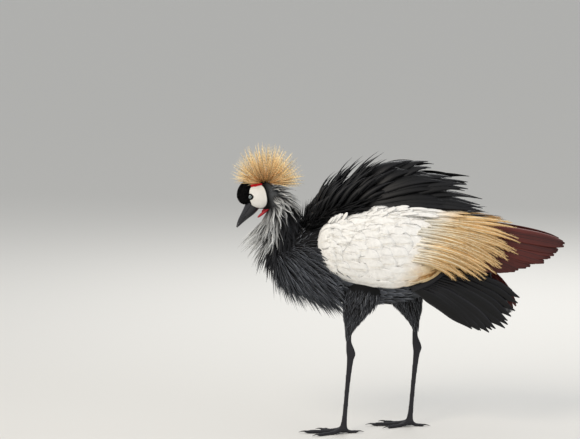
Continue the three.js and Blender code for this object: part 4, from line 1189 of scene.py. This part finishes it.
fans = {
    "secondaries": {"count": 24, "roots": vec([104, 40, 482], [112, 50, 444], [104, 52, 402]),
                    "tips": vec([378, 18, 444], [372, 28, 424], [344, 38, 404], [300, 46, 388], [254, 52, 378],
                                [212, 56, 378]),
                    "width": 25, "faceUp": (0.9, 0.1), "lean": 8, "bow": (4, 8), "material": chestnutFeather,
                    "slot": "flight_chestnut", "outline": roundTip},
    "primaries": {"count": 13, "roots": vec([110, 48, 378], [72, 55, 352], [34, 57, 340]),
                  "tips": vec([272, 60, 318], [262, 64, 276], [240, 62, 250], [206, 61, 240], [168, 61, 248]),
                  "width": 30, "faceUp": (0.1, 0.1), "lean": 14, "bow": (3, 7), "material": blackFlight,
                  "slot": "flight_black", "outline": vaneTip},
}
flightLook = {"columns": 9, "outline": roundTip, "thick": 1.2, "camber": 0.16, "fray": 0.02, "swept": 0.15}
flight = {"rings": 16, "jitter": (7, 0.4, 2.5), "bar": (8, 9)}       # bar: half width and height of the fan's root
droopers = {"root": (110, 42, 408), "control": (232, 42, 388), "rootStep": (-2, 1, -6), "controlStep": (-8, 1, -6),
            "tips": vec([277, 36, 284], [270, 38, 280], [262, 40, 279]), "width": 18, "face": (0.2, 1.0, 0.2)}


def fanBatch(fan, side):
    # a fan between a line of roots and a line of tips, each feather's lower edge over the next one's upper edge
    t = np.linspace(0, 1, fan["count"])
    roots = mirrored(fan["roots"], side)
    root = onLine(roots, t)
    tip = onLine(mirrored(fan["tips"], side), t) + scatter(len(t), *flight["jitter"])
    control = (root + tip) / 2 + 2 * np.array([0, side * fan["bow"][0], fan["bow"][1]])
    path = bowedPaths(root, control, tip, flight["rings"])
    face = unit(rowsOf(0, side, blend(*fan["faceUp"], t)))
    look = {**flightLook, "lean": side * fan["lean"], "outline": fan["outline"]}
    bar = np.concatenate([roots - np.array([4, 0, 0]), np.tile(flight["bar"], (3, 1))], 1)
    return [ribbons(path, face, fan["width"], look, rowsOf(0.5, 0.05 + 0.9 * t)), tube(bar, 0, 8, 12)]


def drooping():
    # secondaries of the right wing that hang behind the tail
    n = len(droopers["tips"])
    step = np.arange(n)[:, None]
    root = np.array(droopers["root"]) + step * np.array(droopers["rootStep"])
    control = np.array(droopers["control"]) + step * np.array(droopers["controlStep"])
    path = bowedPaths(root, control, droopers["tips"], flight["rings"])
    uv = rowsOf(0.2, 0.2 + 0.1 * np.arange(n))
    return ribbons(path, np.tile(droopers["face"], (n, 1)), droopers["width"], flightLook, uv)


for side in (left, right):
    letter = sideLetter[side]
    node, capital, goldBlend = f"wing_{letter}", letter.upper(), {"mark": goldMark}
    white = [tube(mirrored(wingTable, side), -2.5, 60, 40), *covertBatch(side), edgePlumes(side)]
    piece("coverts" + capital, white, wingFeather, [node], goldBlend)
    shafts, hairs = goldBatches(side)
    piece("goldShafts" + capital, [shafts], goldShaft, [node], goldBlend)
    piece("goldHairs" + capital, hairs, goldHair, [node], goldBlend)
    for name, fan in fans.items():
        feathers = fanBatch(fan, side)
        if name == "secondaries" and side == right:
            feathers.append(drooping())
        piece(name + capital, feathers, fan["material"], [f"{name}_{letter}"])
print("wings done")

tail = {"count": 12, "root": (191, 0, 384), "length": 132, "fan": 14, "pitch": -50, "width": 30, "step": 3.0,
        "steps": 5, "lift": 4.8, "out": 14, "sink": 8, "roof": 22, "rings": 14}
rumpLook = {**bodyLook, "length": 36, "width": 13}


def tailBatch():
    # a fan from the rump, roofed: each outer feather lies lower and leans outwards, and those of the right side lie
    # 1 mm lower than their pairs
    pitch = math.radians(tail["pitch"])
    flat = np.array([math.cos(pitch), 0, math.sin(pitch)])
    above = np.array([-math.sin(pitch), 0, math.cos(pitch)])
    outward = np.linspace(-1, 1, tail["count"])
    turn = np.radians(tail["fan"] * outward)
    way = flat * np.cos(turn)[:, None] + np.array([0, 1, 0]) * np.sin(turn)[:, None]
    drop = np.abs(outward) * tail["steps"] * tail["step"] + (outward > 0) * 1.0
    root = np.array(tail["root"]) + np.array([0, tail["out"], 0]) * outward[:, None]
    root = root + above * (tail["lift"] - drop)[:, None] - way * tail["sink"]
    length = (tail["length"] + tail["sink"]) * (1 - 0.06 * np.abs(outward))[:, None]
    slope = outward * math.tan(math.radians(tail["roof"])) * 2
    face = unit(above + np.array([0, 1, 0]) * slope[:, None])
    path = bentPaths(root, way * length, unit(way - above * 0.2) * length, tail["rings"])
    return ribbons(path, face, tail["width"], flightLook, rowsOf(0.5, 0.5 + 0.4 * outward))


u, a = rowsOn(rumpForm, np.linspace(0.05, 0.9, 9), 9, allRound)
piece("tailFeathers", [tailBatch(), tube(rumpForm, -1, 20, 24), growOn(rumpForm, u, a, rumpLook, -1)], blackFlight,
      ["tail"])
print("tail done")

stage = {"floor": "#d6d4cf", "floorSize": 160.0, "sky": "#eef0f2", "world": 0.72, "aim": (0, 0, 0.4)}
lights = [  # name, place, size, power, colour
    ("keyLight", (-1.6, -2.4, 2.8), 1.6, 60, "#fff6ea"),
    ("fillLight", (2.2, -2.0, 1.4), 2.2, 14, "#eaf1ff"),
    ("backLight", (0.6, 2.4, 2.4), 1.8, 50, "#ffffff"),
]
floorMesh = bpy.data.meshes.new("floor")
s = stage["floorSize"] / 2
floorMesh.from_pydata([(-s, -s, 0), (s, -s, 0), (s, s, 0), (-s, s, 0)], [], [(0, 1, 2, 3)])
floor = newObject("floor", floorMesh)
floorMesh.materials.append(newMaterial("paleFloor", 0.9, {"Base Color": colour(stage["floor"])})[0])
for name, place, size, power, code in lights:
    data = bpy.data.lights.new(name, "AREA")
    data.size, data.energy, data.color = size, power, colour(code)[:3]
    lamp = newObject(name, data)
    lamp.location = place
    x, y, z = np.array(stage["aim"]) - np.array(place)
    lamp.rotation_euler = (math.atan2(math.hypot(x, y), -z), 0, math.atan2(x, -y) + math.pi)
world = bpy.data.worlds.new("studio")
bpy.context.scene.world = world
world.use_nodes = True
sky = world.node_tree.nodes["Background"].inputs
sky["Color"].default_value, sky["Strength"].default_value = colour(stage["sky"]), stage["world"]
print("stage done")
